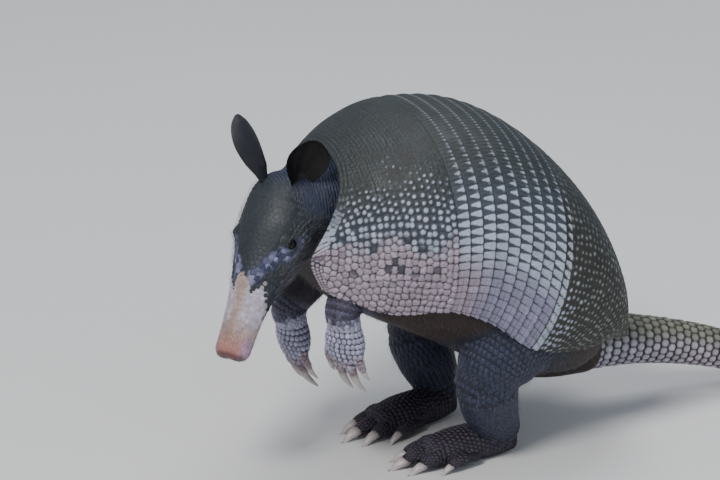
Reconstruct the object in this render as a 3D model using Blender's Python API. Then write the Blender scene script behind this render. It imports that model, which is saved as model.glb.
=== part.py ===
"""A nine-banded armadillo, life size and still, sitting back on its hind feet.

It faces -Y with its left side towards +X, and rests on the floor at z = 0 on both hind feet and
its tail. The back is hunched, the head hangs down and turns to the left, and the forepaws hang.
"""

import math

import bmesh
import bpy
import numpy as np

# ---- Driving dimensions, in metres and degrees ----

GAP = 0.0003  # left between pieces that touch
MIDDLE_Y = 0.1153  # middle of the model's length, where the shell's own y is 0 near the hip
PLATE = 0.0030  # thickness of the shell
UNDER_PLATE = 0.0010  # from the shell's inside to the trunk
ROUND_SHELL = 0.0022  # from the shell's outside to the limbs under it
LIP = 0.0008  # how far the rear edge of a band stands over the next one
BAND_COUNT = 9
SHIELD_ROWS = 6  # rows of points along the front shield, and one more along the rear one
BAND_PITCH = 0.0088  # from one band to the next, over the middle of the back
AROUND = 22  # facets of the shell from one lower edge to the other
SLICE_TALL = 0.125  # a middle slice's height and half width, for spacing points evenly along it
SLICE_WIDE = 0.091

# Stations of the shell from neck to tail. Each is a slice across the body, given by where it meets
# the back and the shell's lower edge, seen from the side, by half the shell's width, and by how far
# the slice bows back between the two.
STATIONS = {
    # name: (back y, back z, edge y, edge z, half width, bow)
    "before": (-0.1185, 0.194, -0.121, 0.142, 0.039, 0.0),
    "rim": (-0.0955, 0.2195, -0.103, 0.130, 0.053, 0.0),
    "shoulder": (-0.069, 0.2325, -0.074, 0.121, 0.076, 0.0),
    "first_band": (-0.0370, 0.2385, -0.038, 0.121, 0.090, 0.0),
    "waist": (0.007, 0.2330, -0.009, 0.109, 0.093, 0.003),
    "last_band": (0.0470, 0.2105, 0.020, 0.087, 0.092, 0.006),
    "rump": (0.083, 0.171, 0.047, 0.078, 0.085, 0.006),
    "croup": (0.106, 0.123, 0.075, 0.073, 0.072, 0.003),
    "tail_hole": (0.117, 0.072, 0.098, 0.070, 0.050, 0.0),
}
WIDEST_AT = 0.34  # share of a slice's height at which it is widest
EDGE_TUCK = 0.13  # share of the half width by which the lower edge turns in
SQUARENESS = 2.25  # 2 is an ellipse, and more is boxier
LOBE_REACH = 0.95  # how far the shoulder lobe reaches from the rim towards "before"
LOBE_AT = 0.24  # share of the height at which the lobe reaches furthest

# Middle of the belly under each station, seen from the side.
BELLY = [
    (-0.124, 0.155),
    (-0.104, 0.124),
    (-0.074, 0.105),
    (-0.036, 0.084),
    (-0.008, 0.070),
    (0.020, 0.058),
    (0.044, 0.047),
    (0.070, 0.042),
    (0.094, 0.046),
]

HEAD_AT = (0.008, -0.131, 0.200)  # midway between the roots of the ears
HEAD_TURN = 33.0  # to the animal's left
HEAD_NOD = 54.0  # below level
# Slices of the head from nape to nose: (along, top, bottom, half width)
HEAD_SLICES = [
    (-0.014, -0.012, -0.030, 0.0115),
    (-0.009, -0.005, -0.036, 0.0193),
    (0.002, 0.001, -0.040, 0.0255),
    (0.018, 0.002, -0.043, 0.0275),
    (0.035, 0.002, -0.041, 0.0260),
    (0.050, 0.000, -0.036, 0.0215),
    (0.065, -0.002, -0.031, 0.0170),
    (0.080, -0.004, -0.028, 0.0142),
    (0.095, -0.006, -0.027, 0.0128),
    (0.106, -0.008, -0.026, 0.0125),
    (0.112, -0.009, -0.025, 0.0118),
    (0.1155, -0.012, -0.023, 0.0090),
]
HEAD_SHIELD = (0.0055, 0.072)  # where the shield starts and ends along the head
HEAD_SHIELD_HALF_ANGLE = 54.0
HEAD_SHIELD_THICK = 0.0012
HEAD_SHIELD_TAPER = 0.72  # its width at the snout's end over its width at the nape
SHIELD_GRID = (7, 9)  # points along and across the head's shield
HEAD_RINGS = 14
HEAD_AROUND = 16
EYE_AT = (0.0346, 0.0203, -0.0092)  # along, left, up, in the head's own directions
EYE_RADIUS = 0.0040
BALL_RINGS = 6
BALL_AROUND = 12
NECK_PATH = [(0.0, -0.086, 0.184), (0.003, -0.106, 0.183)]
NECK_END = (0.014, 0.0, -0.026)  # in the head's own directions
NECK_RADII = [(0.036, 0.032), (0.031, 0.027), (0.021, 0.018)]
NECK_AROUND = 14

EAR_LENGTH = 0.0475
EAR_HALF_WIDTH = 0.0145
EAR_THICK = 0.0016
EAR_CUP = 0.0060
EAR_ROOT = (-0.001, 0.0140, -0.006)  # of the left ear, in the head's own directions
# Direction of each ear and of its opening: (along, out, up) in the head's own directions
EARS = {
    "left": ((-0.55, 0.45, 0.70), (0.20, 0.60, 0.62)),
    "right": ((-0.72, 0.46, 0.46), (0.0, 1.0, 0.12)),
}

TAIL_PATH = [
    (0.000, 0.088, 0.0525),
    (0.000, 0.138, 0.0465),
    (0.001, 0.186, 0.0355),
    (0.006, 0.240, 0.0185),
    (0.018, 0.300, 0.0083),
    (0.038, 0.360, 0.0055),
    (0.064, 0.412, 0.0026),
]
TAIL_RADII = (0.0205, 0.0165, 0.0140, 0.0115, 0.0088, 0.0060, 0.0030)
TAIL_LENGTHS = 4
TAIL_AROUND = 12
TAIL_RINGS = 4  # steps along each length

LIMB_AROUND = 12
SOLE_AROUND = 12
ARM_RINGS = 7
# Limbs. Each path runs outwards, as (x, y, z), and radii are (across, through) at its points.
ARMS = {
    # side: (elbow, wrist)
    "left": ((0.033, -0.082, 0.137), (0.042, -0.097, 0.108)),
    "right": ((-0.028, -0.082, 0.124), (-0.032, -0.103, 0.086)),
}
ARM_RADII = [(0.0150, 0.0140), (0.0125, 0.0110), (0.0112, 0.0096)]
PAWS = {
    # side: (way the paw hangs, way its back faces)
    "left": ((0.00, 0.05, -1.00), (0.35, -0.94, 0.00)),
    "right": ((-0.02, 0.12, -0.99), (0.10, -0.99, 0.00)),
}
PALM_LENGTH = 0.022
PALM_RADII = [(0.0115, 0.0095), (0.0145, 0.0100), (0.0155, 0.0090), (0.0130, 0.0065)]
# Digits of a forepaw: (across, start, length, radius, claw length, claw radius)
FINGERS = [
    (-0.0115, 0.015, 0.014, 0.0033, 0.010, 0.0020),
    (-0.0040, 0.019, 0.014, 0.0042, 0.020, 0.0030),
    (0.0042, 0.019, 0.014, 0.0044, 0.021, 0.0032),
    (0.0122, 0.014, 0.015, 0.0033, 0.012, 0.0022),
]

DIGIT_SPREAD = 14.0  # how much more a digit turns outwards for each metre it stands to the side
DIGIT_ROOT = 0.008  # how far a digit reaches back into its foot
DIGIT_SHAPE = [(0.9, 0.9), (1.05, 1.0), (1.0, 0.95), (0.8, 0.75)]  # over the digit's radius
CLAW_SHAPE = [(1.0, 0.9), (0.95, 0.85), (0.7, 0.6), (0.2, 0.2)]  # over the claw's radius
CLAW_START = 0.001  # the claw's first length runs straight on from the digit
DIGIT_AROUND = 7
WRIST_REACH = 0.012  # the last length of a foreleg runs straight into its paw
PAW_DROOP = 0.004
FOOT_DROOP = 0.006
TOE_ROOT_Z = 0.0065  # height of the toes' middle over the floor

THIGHS = {
    "left": [
        (0.042, 0.040, 0.092),
        (0.054, 0.020, 0.086),
        (0.059, 0.005, 0.073),
        (0.059, -0.003, 0.060),
    ],
    "right": [
        (-0.042, 0.038, 0.092),
        (-0.052, 0.019, 0.082),
        (-0.055, 0.009, 0.068),
        (-0.052, -0.001, 0.056),
    ],
}
THIGH_RADII = [(0.022, 0.034), (0.024, 0.034), (0.022, 0.0290), (0.018, 0.0215)]
SHANKS = {
    "left": [(0.058, 0.000, 0.054), (0.052, 0.005, 0.038), (0.044, 0.015, 0.020)],
    "right": [(-0.050, 0.000, 0.050), (-0.043, 0.003, 0.036), (-0.036, 0.009, 0.019)],
}
SHANK_RADII = [(0.0190, 0.0215), (0.0175, 0.0195), (0.0140, 0.0150)]
FEET = {
    # side: (heel, way the foot points)
    "left": ((0.042, 0.026, 0.010), (0.02, -1.00, 0.0)),
    "right": ((-0.033, 0.015, 0.010), (0.22, -0.98, 0.0)),
}
SOLE_LENGTH = 0.058
SOLE_RADII = [(0.0100, 0.0090), (0.0125, 0.0120), (0.0150, 0.0120), (0.0165, 0.0105), (0.0130, 0.0075)]
# Digits of a hind foot: (across, start, length, radius, claw length, claw radius)
TOES = [
    (-0.0155, 0.043, 0.017, 0.0042, 0.012, 0.0032),
    (-0.0085, 0.052, 0.021, 0.0050, 0.015, 0.0040),
    (0.0000, 0.055, 0.024, 0.0054, 0.016, 0.0043),
    (0.0085, 0.051, 0.021, 0.0050, 0.015, 0.0040),
    (0.0160, 0.041, 0.015, 0.0040, 0.011, 0.0030),
]

COLOURS = {
    # material: (sRGB colour, roughness)
    "shell_horn": ((0.36, 0.37, 0.39), 0.55),
    "band_horn": ((0.50, 0.51, 0.56), 0.55),
    "tail_scale": ((0.55, 0.50, 0.50), 0.60),
    "head_scale": ((0.33, 0.36, 0.38), 0.55),
    "body_hide": ((0.33, 0.27, 0.25), 0.75),
    "head_hide": ((0.62, 0.50, 0.44), 0.65),
    "leg_hide": ((0.22, 0.23, 0.30), 0.70),
    "paw_hide": ((0.66, 0.64, 0.70), 0.65),
    "ear_hide": ((0.17, 0.14, 0.17), 0.70),
    "claw_horn": ((0.75, 0.71, 0.66), 0.40),
    "eye": ((0.02, 0.02, 0.03), 0.08),
}


# ---- Shapes ----


def clear_scene():
    for thing in list(bpy.data.objects):
        bpy.data.objects.remove(thing)


def unit(vector):
    """The vector or vectors at length 1."""
    vector = np.asarray(vector, float)
    return vector / np.linalg.norm(vector, axis=-1, keepdims=True)


def smooth_curve(points, shares):
    """A Catmull-Rom curve through the points, at these shares (0 to 1) of its way."""
    points = np.asarray(points, float)
    points = np.vstack([2 * points[0] - points[1], points, 2 * points[-1] - points[-2]])
    place = np.clip(shares, 0, 1) * (len(points) - 3)
    first = np.minimum(place.astype(int), len(points) - 4)
    f = (place - first)[:, None]
    a, b, c, d = (points[first + step] for step in range(4))
    bend = (2 * a - 5 * b + 4 * c - d) * f**2 + (3 * b - a - 3 * c + d) * f**3
    return (2 * b + (c - a) * f + bend) / 2


def material(name):
    found = bpy.data.materials.get(name)
    if found:
        return found
    made = bpy.data.materials.new(name)
    made.use_nodes = True
    surface = made.node_tree.nodes["Principled BSDF"]
    colour, roughness = COLOURS[name]
    linear = [((c + 0.055) / 1.055) ** 2.4 if c > 0.04045 else c / 12.92 for c in colour]
    surface.inputs["Base Color"].default_value = (*linear, 1.0)
    surface.inputs["Roughness"].default_value = roughness
    surface.inputs["Metallic"].default_value = 0.0
    made.diffuse_color = (*linear, 1.0)
    return made


def solid(name, points, faces, slot, helper=False):
    """A closed mesh as an object, faces turned outwards. A helper only cuts or joins others."""
    mesh = bpy.data.meshes.new(name)
    mesh.from_pydata([tuple(p) for p in points], [], faces)
    made = bpy.data.objects.new(name, mesh)
    bpy.context.scene.collection.objects.link(made)
    edit = bmesh.new()
    edit.from_mesh(mesh)
    bmesh.ops.recalc_face_normals(edit, faces=edit.faces)
    edit.to_mesh(mesh)
    edit.free()
    mesh.materials.append(material(slot))
    if helper:
        made.hide_render = True
        made.display_type = "WIRE"
    return made


def boolean(target, other, operation):
    """Cuts target with another object, or joins it on, with the exact solver."""
    step = target.modifiers.new(operation.lower() + "_" + other.name, "BOOLEAN")
    step.operation = operation
    step.solver = "EXACT"
    step.object = other


def tube_faces(rings, around):
    """Faces of a closed tube whose two ends are fans round a middle point."""
    faces = []
    for ring in range(rings - 1):
        for k in range(around):
            a = ring * around + k
            b = ring * around + (k + 1) % around
            faces.append((a, b, b + around, a + around))
    first, last = rings * around, rings * around + 1
    for k in range(around):
        faces.append((first, (k + 1) % around, k))
        end = (rings - 1) * around
        faces.append((last, end + k, end + (k + 1) % around))
    return faces


def ring_solid(name, rings, slot, helper=False):
    """A closed solid through rings of points, an array of (ring, point, xyz)."""
    count, around = rings.shape[:2]
    ends = [rings[0].mean(axis=0), rings[-1].mean(axis=0)]
    points = np.vstack([rings.reshape(-1, 3), ends])
    return solid(name, points, tube_faces(count, around), slot, helper)


def slab(name, outside, inside, slot):
    """A closed plate between two grids of points of the same size."""
    rows, columns = outside.shape[:2]
    inner = rows * columns
    faces = []
    for r in range(rows - 1):
        for c in range(columns - 1):
            a = r * columns + c
            quad = (a, a + 1, a + columns + 1, a + columns)
            faces.append(quad)
            faces.append(tuple(inner + k for k in reversed(quad)))
    rim = list(range(columns))
    rim += [r * columns + columns - 1 for r in range(1, rows)]
    rim += [(rows - 1) * columns + c for c in range(columns - 2, -1, -1)]
    rim += [r * columns for r in range(rows - 2, 0, -1)]
    for a, b in zip(rim, rim[1:] + rim[:1], strict=True):
        faces.append((b, a, a + inner, b + inner))
    points = np.vstack([outside.reshape(-1, 3), inside.reshape(-1, 3)])
    return solid(name, points, faces, slot)


def sweep(path, radii, across, around):
    """Rings of an elliptic tube along a path. Radii are (across, through) at each of its points."""
    path = np.asarray(path, float)
    radii = np.asarray(radii, float)
    along = unit(np.gradient(path, axis=0))
    across = np.asarray(across, float)
    side = unit(across - (along @ across)[:, None] * along)
    through = np.cross(along, side)
    turn = np.linspace(0, 2 * math.pi, around, endpoint=False)
    wide = radii[:, None, None, 0] * np.cos(turn)[None, :, None] * side[:, None, :]
    deep = radii[:, None, None, 1] * np.sin(turn)[None, :, None] * through[:, None, :]
    return path[:, None, :] + wide + deep


def limb(path, radii, across, rings=6, around=LIMB_AROUND, round_end=True):
    """Rings of a limb along a smooth path. A round end closes over in a dome."""
    shares = np.linspace(0, 1, rings)
    points = smooth_curve(path, shares)
    sizes = smooth_curve(radii, shares)
    if not round_end:
        return sweep(points, sizes, across, around)
    way = unit(points[-1] - points[-2])
    reach = sizes[-1].min()
    for step in (0.5, 0.85):
        points = np.vstack([points, smooth_curve(path, np.array([1.0])) + way * reach * step])
        sizes = np.vstack([sizes, sizes[rings - 1] * math.sqrt(1 - step**2)])
    return sweep(points, sizes, across, around)


# ---- Shell ----


def slice_profile(count):
    """Height shares (0 at the lower edge, 1 at the back) and width shares of a slice, evenly spaced
    along it from the right edge over the back to the left one."""
    turn = np.linspace(0, math.pi / 2, 60)
    up = WIDEST_AT + (1 - WIDEST_AT) * np.cos(turn) ** (2 / SQUARENESS)
    out = np.sin(turn) ** (2 / SQUARENESS)
    down = np.linspace(0, 1, 30)[1:]
    height = np.concatenate([up, WIDEST_AT * (1 - down)])
    width = np.concatenate([out, 1 - EDGE_TUCK * down**2])
    step = np.hypot(np.diff(height) * SLICE_TALL, np.diff(width) * SLICE_WIDE)
    length = np.concatenate([[0], np.cumsum(step)])
    places = np.linspace(-length[-1], length[-1], count)
    height = np.interp(np.abs(places), length, height)
    return height, np.interp(np.abs(places), length, width) * -np.sign(places)


def station_share(name):
    """Where a named station lies along the shell, from 0 to 1."""
    return list(STATIONS).index(name) / (len(STATIONS) - 1)


def shell_surface(shares, height, width):
    """Points of the shell's outer surface and its outward directions, on a grid. Shares say where each
    row lies along the shell, one for each row or for each point."""
    shares = np.asarray(shares, float).reshape(len(shares), -1)
    shares = np.broadcast_to(shares, (len(shares), len(height)))

    def place(s, up, out):
        held = smooth_curve(list(STATIONS.values()), s.reshape(-1)).reshape(*s.shape, 6)
        back, edge, half, bow = held[..., 0:2], held[..., 2:4], held[..., 4], held[..., 5]
        side = edge + (back - edge) * up[..., None]
        side[..., 0] += bow * 4 * up * (1 - up)
        return np.stack([half * out, side[..., 0], side[..., 1]], axis=-1)

    points = place(shares, height, width)
    ahead = place(np.clip(shares + 0.004, 0, 1), height, width)
    behind = place(np.clip(shares - 0.004, 0, 1), height, width)
    along = ahead - behind
    around = np.gradient(points, axis=1)
    return points, unit(np.cross(along, around))


def rim_share(height):
    """Where the shell's front rim lies at each height: it bulges into a lobe beside the neck."""
    above = np.cos(math.pi / 2 * np.clip((height - LOBE_AT) / (1 - LOBE_AT), 0, 1)) ** 2.4
    below = 1 - 0.5 * np.clip((LOBE_AT - height) / LOBE_AT, 0, 1) ** 2
    lobe = np.where(height > LOBE_AT, above, below)
    return station_share("rim") - lobe * LOBE_REACH * (station_share("rim") - station_share("before"))


def plate(name, first, last, rows, rise, slot):
    """One plate of the shell from share first to share last. Rise is how far each row stands out."""
    height, width = slice_profile(AROUND)
    mix = np.linspace(0, 1, rows)[:, None]
    shares = first + (last - first) * mix
    points, out = shell_surface(shares, height, width)
    lift = np.asarray(rise, float)[:, None, None]
    return slab(name, points + out * lift, points - out * PLATE, slot)


def build_shell():
    """The front shield, nine bands, each with its rear edge a little raised, and the rear shield."""
    height, _ = slice_profile(AROUND)
    first, last = station_share("first_band"), station_share("last_band")
    edges = np.linspace(first, last, BAND_COUNT + 1)
    gap = GAP / BAND_PITCH * (edges[1] - edges[0])
    front = [0.0] * (SHIELD_ROWS - 1) + [LIP]
    plate("shell_front", rim_share(height), first - gap, SHIELD_ROWS, front, "shell_horn")
    for number in range(BAND_COUNT):
        start, end = edges[number], edges[number + 1] - gap
        plate(f"band_{number + 1}", start, end, 2, [-LIP, LIP], "band_horn")
    rear = [-LIP] + [0.0] * SHIELD_ROWS
    plate("shell_rear", last, 1.0, SHIELD_ROWS + 1, rear, "shell_horn")


# ---- Trunk, neck and tail ----


def body_rings(first, last, rows, grow, outer):
    """Rings round the trunk: the shell's inside, or its outside if outer, above, and the belly below."""
    height, width = slice_profile(AROUND)
    shares = np.linspace(first, last, rows)
    points, out = shell_surface(shares, height, width)
    top = points + out * (grow if outer else grow - PLATE - UNDER_PLATE)
    belly = smooth_curve(BELLY, shares)
    turn = np.linspace(0, math.pi, AROUND // 3 + 2)[1:-1]
    rings = []
    for row, (y, z) in zip(top, belly, strict=True):
        left, right = row[-1], row[0]
        middle = (left + right) / 2
        down = np.array([0, y, z]) - middle
        down = down + unit(down) * grow
        half = abs(left[0])
        lower = middle + np.sin(turn)[:, None] ** 0.8 * down
        lower[:, 0] = np.cos(turn) * left[0] * (1 + grow / half)
        rings.append(np.vstack([row, lower]))
    return np.array(rings)


def build_body():
    """The trunk under the shell, and the neck, which the head and the trunk cut to length."""
    first, last = station_share("rim") + 0.01, 0.975
    trunk = ring_solid("trunk", body_rings(first, last, 11, 0.0, False), "body_hide")
    around_trunk = body_rings(first - 0.004, last, 11, GAP, False)
    trunk_room = ring_solid("cut_trunk", around_trunk, "body_hide", True)
    around_shell = body_rings(first - 0.004, 1.0, 14, ROUND_SHELL, True)
    body_room = ring_solid("cut_body", around_shell, "body_hide", True)
    return trunk, trunk_room, body_room


def build_tail(trunk_room):
    """The tail in four tapering lengths, resting on the floor behind."""
    shares = np.linspace(0, 1, TAIL_LENGTHS * TAIL_RINGS + 1)
    path = smooth_curve(TAIL_PATH, shares)
    radii = smooth_curve(np.array(TAIL_RADII)[:, None], shares)
    along = unit(np.gradient(path, axis=0))
    every = sweep(path, np.repeat(radii, 2, axis=1), (1, 0, 0), TAIL_AROUND)
    every[..., 2] = np.maximum(every[..., 2], 0)
    for number in range(TAIL_LENGTHS):
        start = number * TAIL_RINGS
        rings = every[start : start + TAIL_RINGS + 1].copy()
        if number:
            rings[0] += along[start] * GAP
        piece = ring_solid(f"tail_{number + 1}", rings, "tail_scale")
        if number == 0:
            boolean(piece, trunk_room, "DIFFERENCE")


# ---- Head ----


def head_axes():
    """The head's own directions: along to the nose, left, and up out of its crown."""
    turn, nod = math.radians(HEAD_TURN), math.radians(HEAD_NOD)
    along = np.array([math.cos(nod) * math.sin(turn), -math.cos(nod) * math.cos(turn), -math.sin(nod)])
    left = np.array([math.cos(turn), math.sin(turn), 0.0])
    return along, left, np.cross(along, left)


def head_place(along, left, up):
    """World points from places in the head's own directions."""
    way, side, crown = head_axes()
    return (
        np.array(HEAD_AT)
        + np.multiply.outer(along, way)
        + np.multiply.outer(left, side)
        + np.multiply.outer(up, crown)
    )


def head_surface(shares, turn, lift=0.0):
    """Points of the head at these shares along it and angles round it, 0 at the crown."""
    slices = smooth_curve(HEAD_SLICES, shares)
    along, top, bottom, half = (slices[:, k, None] for k in range(4))
    middle, tall = (top + bottom) / 2, (top - bottom) / 2
    turn = np.atleast_2d(turn)
    wide = half * (1 - 0.10 * np.cos(turn))
    left = (wide + lift) * np.sin(turn)
    up = middle + (tall + lift) * np.cos(turn)
    way, side, crown = head_axes()
    place = along[..., None] * way + left[..., None] * side + up[..., None] * crown
    return np.array(HEAD_AT) + place


def head_share(along):
    """The share of the head's slices at which it reaches this far along."""
    reach = smooth_curve(HEAD_SLICES, np.linspace(0, 1, 200))[:, 0]
    return float(np.interp(along, reach, np.linspace(0, 1, 200)))


def ball(name, place, radius, helper=False):
    """A small round solid, faceted like a globe."""
    down = np.linspace(0, math.pi, BALL_RINGS + 2)[1:-1, None]
    turn = np.linspace(0, 2 * math.pi, BALL_AROUND, endpoint=False)[None, :]
    height = np.cos(down) * np.ones_like(turn)
    rings = np.stack([np.sin(down) * np.cos(turn), np.sin(down) * np.sin(turn), height], axis=-1)
    return ring_solid(name, place + radius * rings, "eye", helper)


def build_head(trunk, trunk_room):
    """The head with its shield and eyes, and the neck, which fills the way from the trunk to it."""
    turn = np.linspace(0, 2 * math.pi, HEAD_AROUND, endpoint=False)
    rows = np.linspace(0, 1, HEAD_RINGS)
    head = ring_solid("head", head_surface(rows, turn), "head_hide")
    room = head_surface(rows, turn, HEAD_SHIELD_THICK + 8 * GAP)
    head_room = ring_solid("cut_head", room, "head_hide", True)

    first, last = (head_share(reach) for reach in HEAD_SHIELD)
    half = math.radians(HEAD_SHIELD_HALF_ANGLE)
    rows = np.linspace(first, last, SHIELD_GRID[0])
    taper = np.linspace(1.0, HEAD_SHIELD_TAPER, SHIELD_GRID[0])[:, None]
    fan = np.linspace(-half, half, SHIELD_GRID[1])[None, :] * taper
    outside = head_surface(rows, fan, 2 * GAP + HEAD_SHIELD_THICK)
    shield = slab("head_shield", outside, head_surface(rows, fan, 2 * GAP), "head_scale")

    for side, sign in (("left", 1), ("right", -1)):
        along, out, up = EYE_AT
        place = head_place(along, out * sign, up)
        ball(f"eye_{side}", place, EYE_RADIUS)
        eye_room = ball(f"cut_eye_{side}", place, EYE_RADIUS + GAP, True)
        boolean(head, eye_room, "DIFFERENCE")
        boolean(shield, eye_room, "DIFFERENCE")

    path = [*NECK_PATH, tuple(head_place(*NECK_END))]
    neck = ring_solid("neck", limb(path, NECK_RADII, (1, 0, 0), around=NECK_AROUND), "body_hide")
    grown = limb(path, np.array(NECK_RADII) + GAP, (1, 0, 0), around=NECK_AROUND)
    neck_room = ring_solid("cut_neck", grown, "body_hide", True)
    boolean(neck, trunk_room, "DIFFERENCE")
    boolean(neck, head_room, "DIFFERENCE")
    boolean(trunk, head_room, "DIFFERENCE")
    return head_room, neck_room


def build_ears(rooms):
    """Each ear is a thin leaf, cupped towards its opening and rooted on the nape, cut by the rooms."""
    axes = np.array(head_axes())
    for side, sign in (("left", 1), ("right", -1)):
        way, face = (np.array(v) * (1, sign, 1) @ axes for v in EARS[side])
        way = unit(way)
        face = unit(face - (face @ way) * way)
        across = np.cross(way, face)
        root = head_place(EAR_ROOT[0], EAR_ROOT[1] * sign, EAR_ROOT[2])
        along = np.linspace(0.02, 1, 8)[:, None]
        over = np.linspace(-1, 1, 7)[None, :]
        leaf = np.sin(math.pi * (0.12 + 0.88 * along) ** 0.85)
        leaf = np.maximum(np.maximum(leaf, 0) ** 0.45, 0.15)
        half = EAR_HALF_WIDTH * leaf * (0.9 + 0.1 * along)
        bowl = EAR_CUP * (over**2 - 1) * (1 - along**3 * 0.75)
        flat = root + (along * EAR_LENGTH)[..., None] * way + (half * over)[..., None] * across
        front = flat + bowl[..., None] * face
        back = front - EAR_THICK * face
        ear = slab(f"ear_{side}", front, back, "ear_hide")
        for room in rooms:
            boolean(ear, room, "DIFFERENCE")


# ---- Limbs ----


def digits(name, root, ahead, across, up, spec, droop, skin):
    """Helper solids of the digits of one foot, and its claws as finished pieces. Droop is how far
    the digits curl down over their length."""
    made = []
    for number, (out, start, length, radius, claw, claw_radius) in enumerate(spec, 1):
        way = unit(ahead + across * out * DIGIT_SPREAD)
        begin = root + ahead * (start - DIGIT_ROOT) + across * out
        knuckle = begin + way * (DIGIT_ROOT + length * 0.5) + up * radius * 0.3
        end = begin + way * (DIGIT_ROOT + length) - up * droop * 0.25
        toe = smooth_curve([begin, knuckle, end], np.linspace(0, 1, len(DIGIT_SHAPE)))
        rings = sweep(toe, np.array(DIGIT_SHAPE) * radius, across, DIGIT_AROUND)
        made.append(ring_solid(f"join_{name}_{number}", rings, skin, True))

        way = unit(toe[-1] - toe[-2])
        base = toe[-1] + way * GAP
        bend = unit(way - up * (0.5 + droop * 20))
        tip = base + way * claw * 0.5 + bend * claw * 0.45
        nail = smooth_curve([base, base + way * claw * 0.35, tip], np.linspace(0, 1, len(CLAW_SHAPE)))
        sizes = np.array(CLAW_SHAPE) * claw_radius
        rings = sweep(nail, sizes, across, DIGIT_AROUND)
        rings[0] = sweep([base, base + way * CLAW_START], sizes[:2], across, DIGIT_AROUND)[0]
        rings[..., 2] = np.maximum(rings[..., 2], 0)
        ring_solid(f"claw_{name}_{number}", rings, "claw_horn")
    return made


def build_forelimbs(body_room):
    """The forelegs come out from under the shell, and the paws hang from their wrists."""
    for side in ("left", "right"):
        elbow, wrist = (np.array(place) for place in ARMS[side])
        hang, back = (unit(v) for v in PAWS[side])
        across = np.cross(hang, back) * (1 if side == "left" else -1)
        steps = np.linspace(0, 1, len(PALM_RADII))[:, None] * PALM_LENGTH
        rings = sweep(wrist + hang * (steps + GAP), PALM_RADII, across, LIMB_AROUND)
        palm = ring_solid(f"forepaw_{side}", rings, "paw_hide")
        for finger in digits(f"fore_{side}", wrist, hang, across, back, FINGERS, PAW_DROOP, "paw_hide"):
            boolean(palm, finger, "UNION")
        path = [elbow, wrist - hang * WRIST_REACH, wrist]
        rings = limb(path, ARM_RADII, across, rings=ARM_RINGS, round_end=False)
        last = [wrist - hang * CLAW_START, wrist]
        rings[-1] = sweep(last, [ARM_RADII[-1]] * 2, across, LIMB_AROUND)[-1]
        arm = ring_solid(f"foreleg_{side}", rings, "leg_hide")
        boolean(arm, body_room, "DIFFERENCE")


def build_hind_limbs(body_room):
    """The thigh, shank and foot of each hind leg, each cut to make room for its neighbour."""
    up = np.array((0.0, 0.0, 1.0))
    for side, sign in (("left", 1), ("right", -1)):
        across_thigh = (sign, 0.3, 0)
        thigh = ring_solid(f"thigh_{side}", limb(THIGHS[side], THIGH_RADII, across_thigh), "leg_hide")
        boolean(thigh, body_room, "DIFFERENCE")
        grown = limb(THIGHS[side], np.array(THIGH_RADII) + GAP, across_thigh)
        thigh_room = ring_solid(f"cut_thigh_{side}", grown, "leg_hide", True)

        heel, ahead = (np.array(v) for v in FEET[side])
        ahead = unit(ahead)
        across = np.cross(ahead, up) * -sign
        path = heel + ahead * np.linspace(0, 1, len(SOLE_RADII))[:, None] * SOLE_LENGTH
        rings = sweep(path, SOLE_RADII, across, SOLE_AROUND)
        rings[..., 2] = np.maximum(rings[..., 2], 0)
        foot = ring_solid(f"hind_foot_{side}", rings, "leg_hide")
        root = heel * (1, 1, 0) + up * TOE_ROOT_Z
        for toe in digits(f"hind_{side}", root, ahead, across, up, TOES, FOOT_DROOP, "leg_hide"):
            boolean(foot, toe, "UNION")
        grown = sweep(path, np.array(SOLE_RADII) + GAP, across, SOLE_AROUND)
        foot_room = ring_solid(f"cut_foot_{side}", grown, "leg_hide", True)

        rings = limb(SHANKS[side], SHANK_RADII, (sign, 0.2, 0))
        shank = ring_solid(f"shank_{side}", rings, "leg_hide")
        for room in (thigh_room, foot_room, body_room):
            boolean(shank, room, "DIFFERENCE")
        boolean(foot, thigh_room, "DIFFERENCE")


def centre_on_origin():
    """Hangs every piece on one empty, placed so that the model's box stands centred on the origin."""
    holder = bpy.data.objects.new("armadillo", None)
    bpy.context.scene.collection.objects.link(holder)
    for thing in list(bpy.data.objects):
        if thing != holder:
            thing.parent = holder
    holder.location = (0.0, -MIDDLE_Y, 0.0)


def main():
    clear_scene()
    build_shell()
    trunk, trunk_room, body_room = build_body()
    build_ears(build_head(trunk, trunk_room))
    build_forelimbs(body_room)
    build_hind_limbs(body_room)
    build_tail(trunk_room)
    centre_on_origin()


if __name__ == "__main__":
    main()
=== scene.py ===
"""Looks of a nine-banded armadillo, life size and still, laid out as an add-on.

It adds the horn scutes of the shell, the rings of the tail, one skin over head, trunk and limbs,
the eyes, claws, scales and sparse hair, and a plain stage. It faces -Y, with its left side to +X.
"""

import math

import bmesh
import bpy
import numpy as np
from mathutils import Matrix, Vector
from mathutils.bvhtree import BVHTree


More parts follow.
